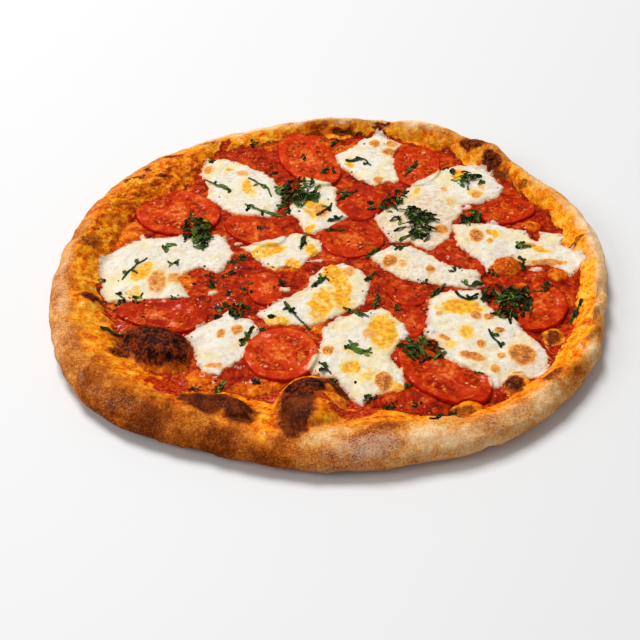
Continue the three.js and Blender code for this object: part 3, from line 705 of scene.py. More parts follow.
# A square grid bent into a disc: each point's direction, and its share of the way out.
side = np.linspace(-1, 1, SAUCE_CELLS)
a, b = (grid.ravel() for grid in np.meshgrid(side, side, indexing="ij"))
flatter = np.abs(a) >= np.abs(b)
share = np.where(flatter, a, b)
turn = np.where(flatter, np.pi / 4 * b / np.where(a == 0, 1, a),
                np.pi / 2 - np.pi / 4 * a / np.where(b == 0, 1, b))
turn = turn + np.where(share < 0, np.pi, 0)
share = np.abs(share)
edge = floor_edge(turn)
foot = toward(turn) * edge[:, None]
edge = edge + 1.2 + 2.4 * uneven(foot, 10, 31) + 1.3 * uneven(foot, 4, 32)
xy = toward(turn) * (edge * share)[:, None]
x, y = xy.T
from_edge = edge * (1 - share)
film = SAUCE_FILM + SAUCE * (1 - np.exp(-from_edge / 6))
pulp = domes(xy + 0.8 * uneven(xy, 4, 33)[:, None], 9, 34, 0.4)
bits = domes(xy, 4.6, 35, 0.3)
blown = bubbled(x, y, SAUCE_BLISTERS)
pool = strongest(x + 2 * uneven(xy, 9, 38), y + 2 * uneven(xy, 9, 39), OIL_POOLS)
lumps = (0.4 * uneven(xy, 13, 36) + 0.5 * pool * domes(xy, 5, 42, 0.7) + 0.6 * pulp
         + 0.65 * bits + 0.45 * uneven(xy, 5.5, 41) + 0.25 * uneven(xy, 2.6, 37)
         + 0.3 * swell(x, y, 60, 5))
dough = pile.top(x, y)
z = dough + film + lumps * np.clip(from_edge / 5, 0.1, 1) + blown


def square_faces(count, first=0):
    """Quads of a square grid of count by count points, seen from above."""
    i, j = np.meshgrid(np.arange(count - 1), np.arange(count - 1), indexing="ij")
    corners = [i * count + j, (i + 1) * count + j, (i + 1) * count + j + 1, i * count + j + 1]
    return (np.stack(corners, -1).reshape(-1, 4) + first).tolist()


def square_border(count):
    """Points on the border of such a grid, all the way round."""
    run, last = np.arange(count - 1), count - 1
    return np.concatenate([run * count, last * count + run, (last - run) * count + last,
                           last - run])


def and_below(values):
    """Values of the sauce's upper points, followed by those of its underside."""
    grid = values.reshape(SAUCE_CELLS, SAUCE_CELLS)
    return np.concatenate([values, grid[::UNDER_STEP, ::UNDER_STEP].ravel()])


# The underside lies inside the dough, so it has far fewer points.
few = (SAUCE_CELLS - 1) // UNDER_STEP + 1
sauce_points = np.stack([and_below(x), and_below(y), and_below(z)], 1)
sauce_points[len(x):, 2] = and_below(dough)[len(x):] - UNDER_DEPTH
quads = square_faces(SAUCE_CELLS)
sauce_faces = quads + [face[::-1] for face in square_faces(few, len(x))]
upper, lower = square_border(SAUCE_CELLS), square_border(few) + len(x)
for k in range(len(lower)):
    piece_of_edge = np.roll(upper, -k * UNDER_STEP)[:UNDER_STEP + 1]
    sauce_faces.append([*piece_of_edge[::-1], lower[k], lower[(k + 1) % len(lower)]])

sauce = Finish("tomato_sauce", Specular_IOR_Level=0.03, Coat_Roughness=0.18, Coat_IOR=1.4)
stirred = (sauce.grain(9, 3, 0.55) * 0.5 + sauce.grain(3.4, 3, 0.55) * 0.35
           + sauce.grain(1.3, 2) * 0.15)
red = sauce.ramp(stirred, (0.37, 92, 14, 1), (0.44, 136, 24, 2), (0.5, 168, 36, 3),
                 (0.56, 190, 58, 6), (0.63, 212, 96, 22))
lump = sauce.mark("pulp").rising(0.35, 0.9) * sauce.grain(4, 2).rising(0.44, 0.56)
red = sauce.mix(lump * 0.85, red, sauce.ramp(sauce.grain(1.6, 3), (0.38, 180, 40, 4),
                                             (0.5, 204, 66, 10), (0.62, 224, 108, 32)))
orange = sauce.ramp(stirred, (0.38, 156, 48, 2), (0.46, 196, 76, 4), (0.53, 222, 106, 8),
                    (0.63, 240, 150, 32))
parted = sauce.mark("oil") + sauce.ripple(1.1, 4, 3)
red = sauce.mix(parted.rising(0.3, 0.85), red, orange)
dark = sauce.ramp(sauce.grain(2, 3), (0.4, 84, 18, 3), (0.62, 150, 56, 8))
baked_dry = sauce.mark("dry") + sauce.ripple(1.2, 3, 3)
red = sauce.mix(baked_dry.rising(0.55, 1.0) * 0.6, red, dark)
crumb = sauce.mark("oil").rising(0.3, 0.8) * sauce.cells(3.2).rising(0.38, 0.2)
red = sauce.mix(crumb * sauce.grain(5, 2).rising(0.46, 0.56) * 0.75, red,
                sauce.ramp(sauce.grain(1.2, 2), (0.4, 214, 110, 20), (0.6, 246, 176, 80)))
speck = sauce.cells(2.6).rising(0.26, 0.14) * sauce.grain(7, 2).rising(0.44, 0.54)
red = sauce.mix(speck * 0.85, red, shade(48, 22, 4))
pale = sauce.cells(3.4).rising(0.22, 0.1) * sauce.grain(8, 2).rising(0.46, 0.56)
red = sauce.mix(pale * 0.75, red, shade(224, 140, 58))
texture = sauce.grain(1.2, 3, 0.6) * 0.4 + stirred * 0.6
sauce.surface(red, 0.5 + sauce.grain(3, 2) * 0.2, texture, 0.42,
              Coat_Weight=sauce.grain(3, 3).rising(0.6, 0.64) * 0.6)

pool = np.maximum(pool, 0.75 * ease(blown, 0.3, 2.0))
dried = np.maximum(1 - ease(from_edge, 0, 5), 0.6 * ease(uneven(xy, 26, 40), 0.2, 0.7))
make("sauce_spread", sauce_points, sauce_faces, sauce,
     {"pulp": and_below(np.maximum(pulp, bits)), "oil": and_below(pool),
      "dry": and_below(dried)}, ["sauce"])
pile.lay(sauce_points[:len(x)], quads)

# ---- tomato slices --------------------------------------------------------------------------
# Slices of ripe tomato, laid on the sauce before baking. Each has a thin red skin round a
# wall of flesh, pockets of soft red pulp with pale seeds, and a pale core with ribs.

TOMATO = 3.1  # thickness of a baked slice
UNDER_CHEESE = 5  # how far a slice runs on under the mozzarella beside it
SLICE_SPOKES = 120
SLICE_ROWS = [*np.linspace(0.06, 0.9, 20), 0.93, 0.955, 0.975, 0.99]
# The rounded edge of a slice: shares of its reach and of its thickness.
SLICE_EDGE = [(1.0, 0.62), (1.008, 0.35), (0.995, 0.08), (0.96, -0.1)]
# Half sizes along and across, turn in degrees, number of pockets, how ripe from 0 to 1, and
# how far the slice has sunk into the sauce.
SLICES = [
    ((32, 25), 153, 3, 0.4, 0.5), ((36, 20), 115, 3, 0.3, 0.4), ((26, 18), 84, 4, 0.6, 1.3),
    ((25, 14), 146, 2, 0.4, 0.9), ((20, 18), 93, 3, 0.9, 1.5), ((22, 20), 170, 3, 0.6, 1.4),
    ((32, 17), 174, 3, 0.9, 1.2), ((17, 12), 95, 3, 0.3, 1.7), ((24, 23), 0, 2, 0.25, 0.7),
    ((34, 22), 133, 4, 0.6, 0.4), ((23, 12), 124, 2, 0.8, 1.2), ((21, 14), 13, 3, 0.7, 0.8),
    ((23, 19), 57, 4, 0.6, 0.6), ((15, 11), 83, 2, 0.7, 1.6), ((13, 10), 150, 2, 0.7, 1.7)]
# Slices whose pockets have cooked nearly shut, and how open those still are.
COOKED_SHUT = {5: 0.3, 7: 0.6, 8: 0.3, 9: 0.8, 13: 0.7, 14: 0.5, 15: 0.5}
# Half sizes of a seed, how many a square millimetre of slice has, and tries to place them.
SEED, SEEDS_PER_AREA, SEED_TRIES = (1.35, 0.85, 0.4), 0.0025, 60


def turning(angle):
    """What rows of points are multiplied by to turn them."""
    c, s = math.cos(angle), math.sin(angle)
    return np.array([[c, s], [-s, c]])


def plan_of(node):
    """Outline of a node's flat underside, and the point in its middle."""
    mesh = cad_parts[node].data
    spots = {}
    for vertex in mesh.vertices:
        place = tuple(round(v / MM, 2) for v in vertex.co)
        spots.setdefault(place, []).append(vertex.index)
    number = {index: k for k, group in enumerate(spots.values()) for index in group}
    places = list(spots)
    low = min(place[2] for place in places) + 0.02
    rings = ([number[i] for i in face.vertices] for face in mesh.polygons)
    rings = [ring for ring in rings if all(places[i][2] <= low for i in ring)]
    edges = dict.fromkeys(edge for ring in rings for edge in zip(ring, ring[1:] + ring[:1]))
    follow = {i: j for i, j in edges if (j, i) not in edges}
    loop = [next(iter(follow))]
    while follow[loop[-1]] != loop[0]:
        loop.append(follow[loop[-1]])
    middle = next(iter(set().union(*rings) - set(loop)))
    plan = np.array([places[i][:2] for i in (*loop, middle)]) - SHIFT
    return plan[:-1], plan[-1]


def depth_inside(outline, x, y):
    """How far a point lies inside a closed outline; negative outside."""
    nearest = np.full(x.shape, 1e9)
    inside = np.zeros(x.shape, bool)
    for (x1, y1), (x2, y2) in zip(outline, np.roll(outline, -1, 0)):
        ex, ey = x2 - x1, y2 - y1
        t = np.clip(((x - x1) * ex + (y - y1) * ey) / max(ex * ex + ey * ey, 1e-9), 0, 1)
        nearest = np.minimum(nearest, np.hypot(x - x1 - t * ex, y - y1 - t * ey))
        if y1 != y2:
            crosses = ((y1 > y) != (y2 > y)) & (x < x1 + (y - y1) * ex / ey)
            inside ^= crosses
    return np.where(inside, nearest, -nearest)


class Heap:
    """Many small bodies of one kind, joined into one mesh."""

    def __init__(self):
        self.points, self.faces, self.marks, self.count = [], [], {}, 0

    def add(self, points, faces, **marks):
        points = np.asarray(points, float)
        self.points.append(points)
        self.faces += [tuple(i + self.count for i in face) for face in faces]
        for name, value in marks.items():
            self.marks.setdefault(name, []).append(np.broadcast_to(value, len(points)))
        self.count += len(points)

    def make(self, name, finish, slot, nodes=()):
        marks = {mark: np.concatenate(values) for mark, values in self.marks.items()}
        return make(name, np.concatenate(self.points), self.faces, finish, marks, nodes)


def pebble(middle, half, turn, spokes=8, rows=4):
    """A small egg-shaped body."""
    rings = []
    way = np.linspace(0, math.tau, spokes, endpoint=False)
    for level in np.linspace(0, math.pi, rows + 2)[1:-1]:
        local = np.stack([half[0] * math.sin(level) * np.cos(way),
                          half[1] * math.sin(level) * np.sin(way) * (1 - 0.25 * np.cos(way)),
                          np.full(spokes, half[2] * math.cos(level))], 1)
        local[:, :2] = local[:, :2] @ turning(turn)
        rings.append(local + middle)
    up = np.array([0, 0, half[2]])
    return capped(np.array(rings), middle + up, middle - up)


tomato = Finish("baked_tomato", Specular_IOR_Level=0.03, Subsurface_Weight=0.06,
                Subsurface_Radius=(1.0, 0.35, 0.2), Subsurface_Scale=2 * MM,
                Coat_Roughness=0.2, Coat_IOR=1.4)
veins = tomato.grain(6, 3, 0.5) * 0.7 + tomato.grain(1.8, 2) * 0.3
ripe_flesh = tomato.ramp(veins, (0.38, 146, 19, 1), (0.5, 172, 31, 2), (0.62, 192, 48, 6))
pale_flesh = tomato.ramp(veins, (0.38, 192, 44, 2), (0.5, 210, 58, 6), (0.62, 226, 84, 22))
flesh = tomato.mix(tomato.mark("ripe"), pale_flesh, ripe_flesh)
pulp_tone = tomato.ramp(tomato.grain(3, 4, 0.65), (0.38, 116, 16, 1), (0.47, 158, 30, 2),
                        (0.56, 190, 58, 6), (0.66, 228, 118, 34))
pale_core = tomato.ramp(tomato.grain(3.4, 3, 0.6), (0.38, 184, 46, 4), (0.5, 212, 80, 20),
                        (0.6, 238, 136, 70))
skin = tomato.ramp(tomato.grain(4, 2), (0.35, 158, 14, 3), (0.65, 194, 36, 8))
cored = tomato.mark("core") - tomato.mark("ripe") * 0.8 + tomato.ripple(1.1, 4, 3)
body = tomato.mix(cored.rising(0.1, 0.7) * 0.8, flesh, pale_core)
pulpy = tomato.mark("pocket") + tomato.ripple(0.8, 4, 3)
body = tomato.mix(pulpy.rising(0.25, 0.8) * 0.9, body, pulp_tone)
dappled = tomato.grain(8, 4, 0.6, 0.8) + tomato.mark("core") * 0.06
body = tomato.mix(dappled.rising(0.53, 0.66) * 0.6, body,
                  tomato.ramp(tomato.grain(1.6, 3), (0.4, 206, 72, 6), (0.62, 238, 132, 40)))
body = tomato.mix(tomato.mark("skin").rising(0.3, 0.8), body, skin)
browned = tomato.mark("brown") + tomato.ripple(1.2, 3.5, 3)
body = tomato.mix(browned.rising(0.6, 1.0) * 0.6, body, shade(134, 24, 3))
texture = tomato.grain(1.3, 3, 0.6) * 0.4 + veins * 0.6
tomato.surface(body, 0.46 + tomato.grain(2.5, 2) * 0.2, texture, 0.18,
               Coat_Weight=tomato.grain(6, 2).rising(0.6, 0.66) * 0.5)

seeds = Heap()
rng = np.random.default_rng(7)
angle = np.linspace(0, math.tau, SLICE_SPOKES, endpoint=False)
unit = toward(angle)
for number, (half, turn, pockets, ripe, sunk) in enumerate(SLICES, 1):
    outline, middle = plan_of(f"tomato_{number}")
    lying = turning(math.radians(turn))
    full = 1 / oval(*unit.T, 0, 0, *half, turn)
    full *= (1 + 0.02 * uneven(middle + unit * full[:, None], 12, 50 + number)
             + 0.012 * np.cos(pockets * angle + number) - 0.01)
    # It ends where it would run too far under the cheese.
    steps = np.linspace(0, 1, 120)[None, :] * full[:, None]
    probe = depth_inside(outline, middle[0] + unit[:, :1] * steps,
                         middle[1] + unit[:, 1:] * steps)
    cut = np.where(probe < -UNDER_CHEESE, steps, 1e9).min(1)
    reach = np.minimum(full - 0.2, cut)

    rings, ring_marks = [], []
    for share in SLICE_ROWS:
        place = middle + unit * (reach * share)[:, None]
        u, v = ((place - middle) @ lying.T / half).T
        u = u + 0.07 * uneven(place, 9, 60 + number) + 0.04 * uneven(place, 4, 70 + number)
        v = v + 0.07 * uneven(place, 9, 80 + number) + 0.04 * uneven(place, 4, 90 + number)
        out, way = np.hypot(u, v), np.arctan2(v, u)
        bent = 0.45 * np.sin(2 * way + number)
        rib = np.abs(np.sin(0.5 * pockets * (way - 0.6 * number) + bent))
        pocket = (ease(rib * out, 0.16, 0.34) * ease(out, 0.34, 0.44)
                  * (1 - ease(out, 0.66, 0.76)))
        pocket *= COOKED_SHUT.get(number, 1)
        ribs = (1 - ease(rib, 0.04, 0.26)) * (1 - ease(out, 0.62, 0.84))
        to_skin = full - reach * share
        height = (TOMATO - 0.7 + 0.3 * ease(out, 0.6, 0.8) - 0.6 * pocket
                  + 0.55 * uneven(place, 11, 90 + number)
                  + 0.15 * uneven(place, 3, 110 + number)
                  + 0.25 * pocket * domes(place, 3.4, 5, 0.6)
                  - 0.9 * (1 - ease(to_skin, -0.4, 1.2)))
        rings.append(np.column_stack([place, height]))
        ring_marks.append({"pocket": pocket, "core": 1 - ease(out, 0.2, 0.42) + 0.8 * ribs,
                           "skin": 1 - ease(to_skin, 0.5, 1.5),
                           "brown": ease(uneven(place, 11, 130 + number), -0.2, 0.8)})
    for share, level in SLICE_EDGE:
        place = middle + unit * (reach * share)[:, None]
        rings.append(np.column_stack([place, np.full(SLICE_SPOKES, TOMATO * level)]))
        ring_marks.append({"pocket": 0, "core": 0, "skin": 1, "brown": 0.2})

    # It has sagged a little into the hollows and over the lumps below it.
    rings = np.array(rings)
    base = pile.top(rings[..., 0], rings[..., 1])
    rest = np.percentile(base, 65)
    rings[..., 2] += rest - sunk + 0.3 * (base - rest)
    points, faces = capped(rings, (*middle, rings[0, :, 2].mean()),
                           (*middle, rest - sunk - 0.6))
    marks = {"ripe": np.full(len(points), ripe)}
    for name in ring_marks[0]:
        values = [np.broadcast_to(marked[name], SLICE_SPOKES) for marked in ring_marks]
        marks[name] = np.concatenate([[values[0].mean()], *values, [values[-1].mean()]])
    make(f"tomato_slice_{number}", points, faces, tomato, marks,
         [f"tomato_{number}"])
    pile.lay(points, faces)

    wanted = int(SEEDS_PER_AREA * math.pi * half[0] * half[1])
    for _ in range(SEED_TRIES):
        spot = rng.uniform(-0.75, 0.75, 2)
        out, way = math.hypot(*spot), math.atan2(spot[1], spot[0])
        bent = 0.25 * math.sin(3 * way + number)
        rib = abs(math.sin(0.5 * pockets * (way - 0.6 * number) + bent))
        if wanted <= 0 or not (0.34 < out < 0.68 and rib * out > 0.25):
            continue
        spot = middle + spot * half @ lying
        level = struck(pile.layers[-1][0], *spot)
        if level is None:
            continue
        wanted -= 1
        seeds.add(*pebble(np.array([*spot, level]), SEED, rng.uniform(0, 6)),
                  tone=rng.random())

pips = Finish("tomato_seed", Roughness=0.35)
seed_tone = pips.mix(pips.mark("tone"), shade(210, 96, 22), shade(228, 146, 54))
pips.surface(seed_tone, 0.35, pips.grain(0.6), 0.1)
seeds.make("tomato_seeds", pips, "tomato")

# ---- mozzarella -----------------------------------------------------------------------------
# Torn pieces of fresh mozzarella, melted flat over sauce and slices, with thin ragged
# edges. Blisters on it have toasted brown, and yellow oil stands in its hollows.

LIP, CROWN = 0.3, 1.6  # thickness of a melted piece at its edge, and how much more inside
CHEESE_SINK = 0.3  # how deep its underside lies in what is below it
UP_THE_RIM = 6  # how far a piece may lie up the foot of the rim
CHEESE_CELL = 0.62  # distance between the points of its grid
# Outline of each piece, corner by corner.
CHEESE_OUTLINES = {
    1: [(-91, 120), (-86, 137), (-73, 136), (-60, 127), (-48, 119), (-39, 110), (-29, 91),
        (-32, 77), (-39, 62), (-46, 65), (-64, 68), (-74, 77), (-85, 89), (-84, 101)],
    2: [(-154, 26), (-143, 36), (-129, 43), (-128, 49), (-125, 44), (-110, 45), (-101, 46),
        (-88, 43), (-78, 45), (-71, 44), (-64, 25), (-68, 15), (-74, 6), (-86, 12), (-93, 10),
        (-101, 2), (-96, -9), (-92, -17), (-103, -18), (-120, -20), (-137, -18), (-145, -18),
        (-150, -11), (-151, 1), (-154, 11)],
    3: [(8, 135), (22, 143), (30, 154), (42, 161), (50, 155), (59, 149), (59, 144), (53, 137),
        (51, 119), (54, 99), (44, 99), (36, 96), (25, 104), (18, 113), (11, 122)],
    4: [(-16, 107), (-4, 102), (8, 96), (7, 80), (8, 72), (15, 59), (4, 51), (-8, 43),
        (-16, 45), (-20, 61), (-29, 69), (-21, 80)],
    5: [(-58, 32), (-41, 36), (-30, 40), (-22, 45), (-12, 40), (-5, 35), (-4, 26), (-11, 20),
        (-16, 13), (-20, 8), (-28, 11), (-36, 6), (-44, 11), (-47, 18), (-53, 26)],
    6: [(-92, -54), (-84, -45), (-70, -38), (-66, -32), (-62, -38), (-52, -41), (-45, -51),
        (-53, -62), (-56, -75), (-63, -82), (-67, -85), (-70, -90), (-79, -87), (-84, -79),
        (-86, -67)],
    7: [(-47, -36), (-40, -29), (-29, -22), (-14, -13), (-13, -3), (-3, 8), (11, 10), (20, 3),
        (27, -8), (25, -20), (22, -31), (10, -38), (-3, -45), (-14, -49), (-27, -47),
        (-39, -47)],
    8: [(-6, -53), (5, -42), (32, -35), (39, -40), (41, -48), (46, -51), (48, -61), (41, -68),
        (35, -79), (41, -92), (43, -103), (41, -109), (26, -110), (19, -114), (16, -121),
        (12, -116), (7, -107), (1, -96), (-8, -93), (-15, -89), (-15, -83), (-9, -74),
        (-7, -65)],
    9: [(27, 17), (36, 22), (44, 27), (57, 26), (69, 16), (79, 3), (97, -3), (99, -8),
        (101, -17), (95, -20), (81, -18), (70, -14), (50, -8), (38, 3), (32, 11)],
    10: [(33, 59), (50, 72), (62, 93), (69, 98), (89, 113), (101, 118), (112, 114), (122, 103),
         (128, 88), (123, 76), (110, 70), (96, 69), (95, 60), (87, 49), (85, 37), (74, 23),
         (67, 20), (57, 30), (43, 32), (39, 41)],
    11: [(87, 47), (97, 49), (115, 47), (125, 41), (136, 37), (139, 29), (144, 26), (146, 35),
         (159, 35), (163, 27), (163, 19), (169, 9), (171, 0), (164, -4), (158, -12), (153, -3),
         (146, 2), (131, 2), (124, 12), (113, 9), (105, -3), (100, 9), (88, 22), (88, 32)],
    12: [(64, -29), (73, -22), (79, -21), (98, -22), (101, -36), (106, -47), (115, -50),
         (120, -61), (128, -73), (133, -84), (129, -96), (122, -106), (116, -101), (106, -99),
         (98, -109), (94, -110), (93, -99), (85, -96), (77, -91), (67, -81), (65, -69),
         (58, -60), (62, -46)],
}
# Crumbs of cheese beside a piece: middle, half sizes, turn.
CRUMBS = {
    2: [(-77, -14, 3, 2, 20)],
    5: [(-10, 14, 3.5, 1.6, 10), (-62, 36, 1.5, 1, 0)],
    7: [(-29, -14, 2.4, 1.8, 0)],
    11: [(137, -3, 3.5, 2, 0)],
    10: [(100, 66, 2.6, 1.8, 30)],
    8: [(50, -78, 1.8, 1.4, 0)],
}
# Toasted blisters of each piece: middle, half sizes, turn, how dark.
TOASTED = {
    1: [(-85, 122, 4, 6, 0, 0.6), (-60, 115, 5, 4, -20, 0.5)],
    2: [(-114, -2, 6.5, 11, 5, 0.62), (-102, 1, 6, 6, 20, 0.56)],
    3: [(39, 147, 4, 6, 0, 0.8), (52, 146, 4.5, 5, 0, 0.6), (49, 136, 5, 5, 0, 0.7),
        (39, 101, 4, 4.5, 0, 0.6)],
    4: [(-3, 68, 6, 8, 0, 0.6)],
    5: [(-40, 7, 7, 4, -10, 0.5)],
    6: [(-70, -54, 3, 4.5, 0, 0.6), (-60, -51, 4, 4.5, 0, 0.7), (-74, -82, 6, 2.5, 0, 0.6)],
    7: [(13, 1, 5, 6, 0, 0.5)],
    8: [(30, -101, 5.5, 8, -5, 0.85), (-3, -73, 4.2, 4.4, 0, 0.7), (23, -59, 4, 5, -25, 0.5)],
    9: [(41, 10, 5, 6, -25, 0.75), (67, 0, 3.2, 4, 0, 0.7), (49, 7, 3, 4, 0, 0.5)],
    10: [(79, 42, 4.5, 5, 20, 0.7), (85, 86, 2.2, 3.5, 0, 0.5), (107, 78, 4, 4.5, 0, 0.6),
         (88, 72, 3, 3.5, 0, 0.4), (112, 88, 3, 4, 0, 0.4)],
    11: [(102, 33, 4.8, 7, 0, 0.8), (110, 27, 2.4, 3, 0, 0.6), (137, 21, 5, 3, -10, 0.6),
         (146, 3, 14, 3, -3, 0.6), (127, 2, 7, 3, 20, 0.4)],
    12: [(116, -83, 8, 9, 20, 0.95), (85, -83, 8, 3.6, -24, 0.8), (92, -73, 3, 4, 0, 0.7),
         (105, -61, 3.7, 2.5, 0, 0.75), (103, -84, 3, 2.6, 0, 0.6), (98, -94, 2.6, 4, 0, 0.6),
         (70, -65, 4.5, 2.5, -45, 0.65), (69, -43, 2.5, 2.8, 0, 0.5),
         (92, -46, 3.6, 4.4, 0, 0.75), (100, -48, 3.6, 3.4, 0, 0.75),
         (111, -98, 4.5, 2.4, 15, 0.55)],
}
# Pools of yellow oil on each piece: middle, half sizes, turn, strength.
OIL_ON_CHEESE = {
    1: [(-55, 98, 4, 11, 10, 0.6), (-70, 120, 4, 2.5, 0, 0.6)],
    2: [(-124, 9, 5, 9, -30, 1.0), (-128, -12, 5, 6, 0, 0.6)],
    3: [(19, 121, 3, 3.5, 0, 0.7)],
    4: [(-9, 70, 5, 11, 15, 0.9), (-11, 47, 3, 5, 0, 0.8)],
    5: [(-41, 26, 11, 5.5, 15, 1.0), (-25, 11, 5.5, 5, 0, 1.0), (-11, 25, 4.5, 6, 0, 0.8)],
    6: [(-54, -60, 2.6, 3.6, 0, 0.8)],
    7: [(-6, -30, 7, 14, -12, 1.0), (8, -22, 5.5, 13, 5, 1.0), (3, -2, 6, 13, 10, 1.0),
        (-36, -45, 7, 4.5, 0, 1.0)],
    8: [(32, -57, 8, 14, 5, 1.0), (38, -108, 4, 6, 0, 1.0), (11, -88, 5, 5, 0, 0.8),
        (20, -95, 7, 7, 0, 0.4), (12, -72, 6, 4, 0, 0.35)],
    9: [],
    10: [(98, 104, 6, 7, -30, 1.0), (66, 86, 2.5, 6, -30, 0.6), (107, 80, 5, 5, 0, 0.5)],
    11: [(143, 16, 6, 3.2, -20, 0.9), (113, 34, 3, 5, 0, 0.8)],
    12: [(84, -38, 13, 6, -5, 1.0), (72, -72, 5, 4, 0, 0.45), (84, -62, 5, 7, 0, 0.5)],
}
# How much creamy mottle each piece has.
CREAMY = {1: 0.1, 2: 0.15, 3: 0.25, 4: 0.4, 5: 0.4, 6: 0.15, 7: 0.35, 8: 0.3, 9: 0.6, 10: 0.8,
          11: 0.35, 12: 0.2}


def sheet(points, faces, under, sink):
    """Closes a sheet of quads: its own copy below, and a wall round its open edges."""
    count = len(points)
    edges = dict.fromkeys(edge for face in faces for edge in zip(face, face[1:] + face[:1]))
    wall = [(b, a, a + count, b + count) for a, b in edges if (b, a) not in edges]
    below = points.copy()
    below[:, 2] = np.minimum(under - sink, points[:, 2] - 0.05)
    closed = faces + wall + [tuple(i + count for i in reversed(face)) for face in faces]
    return np.concatenate([points, below]), closed


def softened(values, passes):
    """Blurs a grid of values with its neighbours."""
    for _ in range(passes):
        wide = np.pad(values, 1, mode="edge")
        values = (wide[:-2, 1:-1] + wide[2:, 1:-1] + wide[1:-1, :-2] + wide[1:-1, 2:]
                  + 2 * values) / 6
    return values


cheese = Finish("melted_mozzarella", Specular_IOR_Level=0.1, Subsurface_Weight=0.12,
                Subsurface_Radius=(1.0, 0.8, 0.55), Subsurface_Scale=2 * MM,
                Coat_Roughness=0.18, Coat_IOR=1.4)
curd = cheese.grain(3.2, 4, 0.6) * 0.6 + cheese.grain(1.2, 3, 0.6) * 0.4
# Painted light and shade: the raised parts of the cheese are painted whiter and its hollows
# greyer.
curd_and_painted_light = curd + cheese.mark("high") * 0.06
white = cheese.ramp(curd_and_painted_light, (0.36, 204, 192, 172), (0.43, 222, 214, 196), (0.5, 230, 225, 210),
                    (0.64, 236, 232, 221))
white = cheese.mix(cheese.grain(15, 3).rising(0.47, 0.62) * 0.5, white, shade(234, 214, 140))
sheer = cheese.grain(10, 3, 0.6, 0.6) + cheese.mark("thin") * 0.1
white = cheese.mix(sheer.rising(0.54, 0.68) * 0.5, white, shade(218, 200, 192))
stained = cheese.grain(1.4, 4, 0.7) * 0.6 + cheese.grain(7, 2) * 0.4
white = cheese.mix(stained.rising(0.54, 0.62) * 0.5, white, shade(226, 172, 110))
mottle = (cheese.mark("cream") + cheese.ripple(2.6, 2.8, 4, 0.68)).rising(0.4, 1.2)
white = cheese.mix(mottle * 0.75, white,
                   cheese.ramp(cheese.grain(1.3, 3, 0.6), (0.36, 190, 128, 76),
                               (0.48, 216, 172, 116), (0.62, 228, 204, 160)))
thinned = cheese.mark("thin") + cheese.ripple(1.2, 2.2, 4, 0.65)
white = cheese.mix(thinned.rising(0.25, 0.85) * 0.5, white,
                   cheese.ramp(cheese.grain(6, 2), (0.42, 208, 178, 168),
                               (0.58, 222, 180, 124)))
white = cheese.mix(thinned.rising(0.8, 1.15) * 0.8, white, shade(206, 110, 48))
oiled = cheese.mark("oil") + cheese.ripple(1.1, 4, 4, 0.65)
white = cheese.mix(oiled.rising(0.05, 0.5) * 0.75, white, shade(238, 208, 90))
white = cheese.mix(oiled.rising(0.24, 0.62) * 0.95, white,
                   cheese.ramp(cheese.grain(3, 3), (0.38, 226, 134, 1), (0.5, 238, 166, 1),
                               (0.62, 243, 190, 18)))
toast = cheese.mark("toasted") + cheese.ripple(1.1, 2.2, 4, 0.7)
white = cheese.mix(toast.rising(-0.05, 0.5) * 0.75, white, shade(238, 182, 96))
browned = (cheese.grain(1.1, 3, 0.7) * 0.8 + cheese.grain(3, 2) * 0.5
           - cheese.mark("toasted") * 0.25 - 0.05)
white = cheese.mix(toast.rising(0.28, 0.64) * 0.9, white,
                   cheese.ramp(browned, (0.29, 132, 54, 2), (0.37, 188, 94, 8),
                               (0.45, 216, 128, 32), (0.56, 236, 164, 66)))
moist = cheese.grain(5, 3).rising(0.54, 0.64) * 0.3 + oiled.rising(0.4, 0.8) * 0.3
texture = curd * 0.7 + cheese.grain(0.9, 2) * 0.3
cheese.surface(white, 0.52 + cheese.grain(3, 2) * 0.12, texture, 0.18, Coat_Weight=moist)

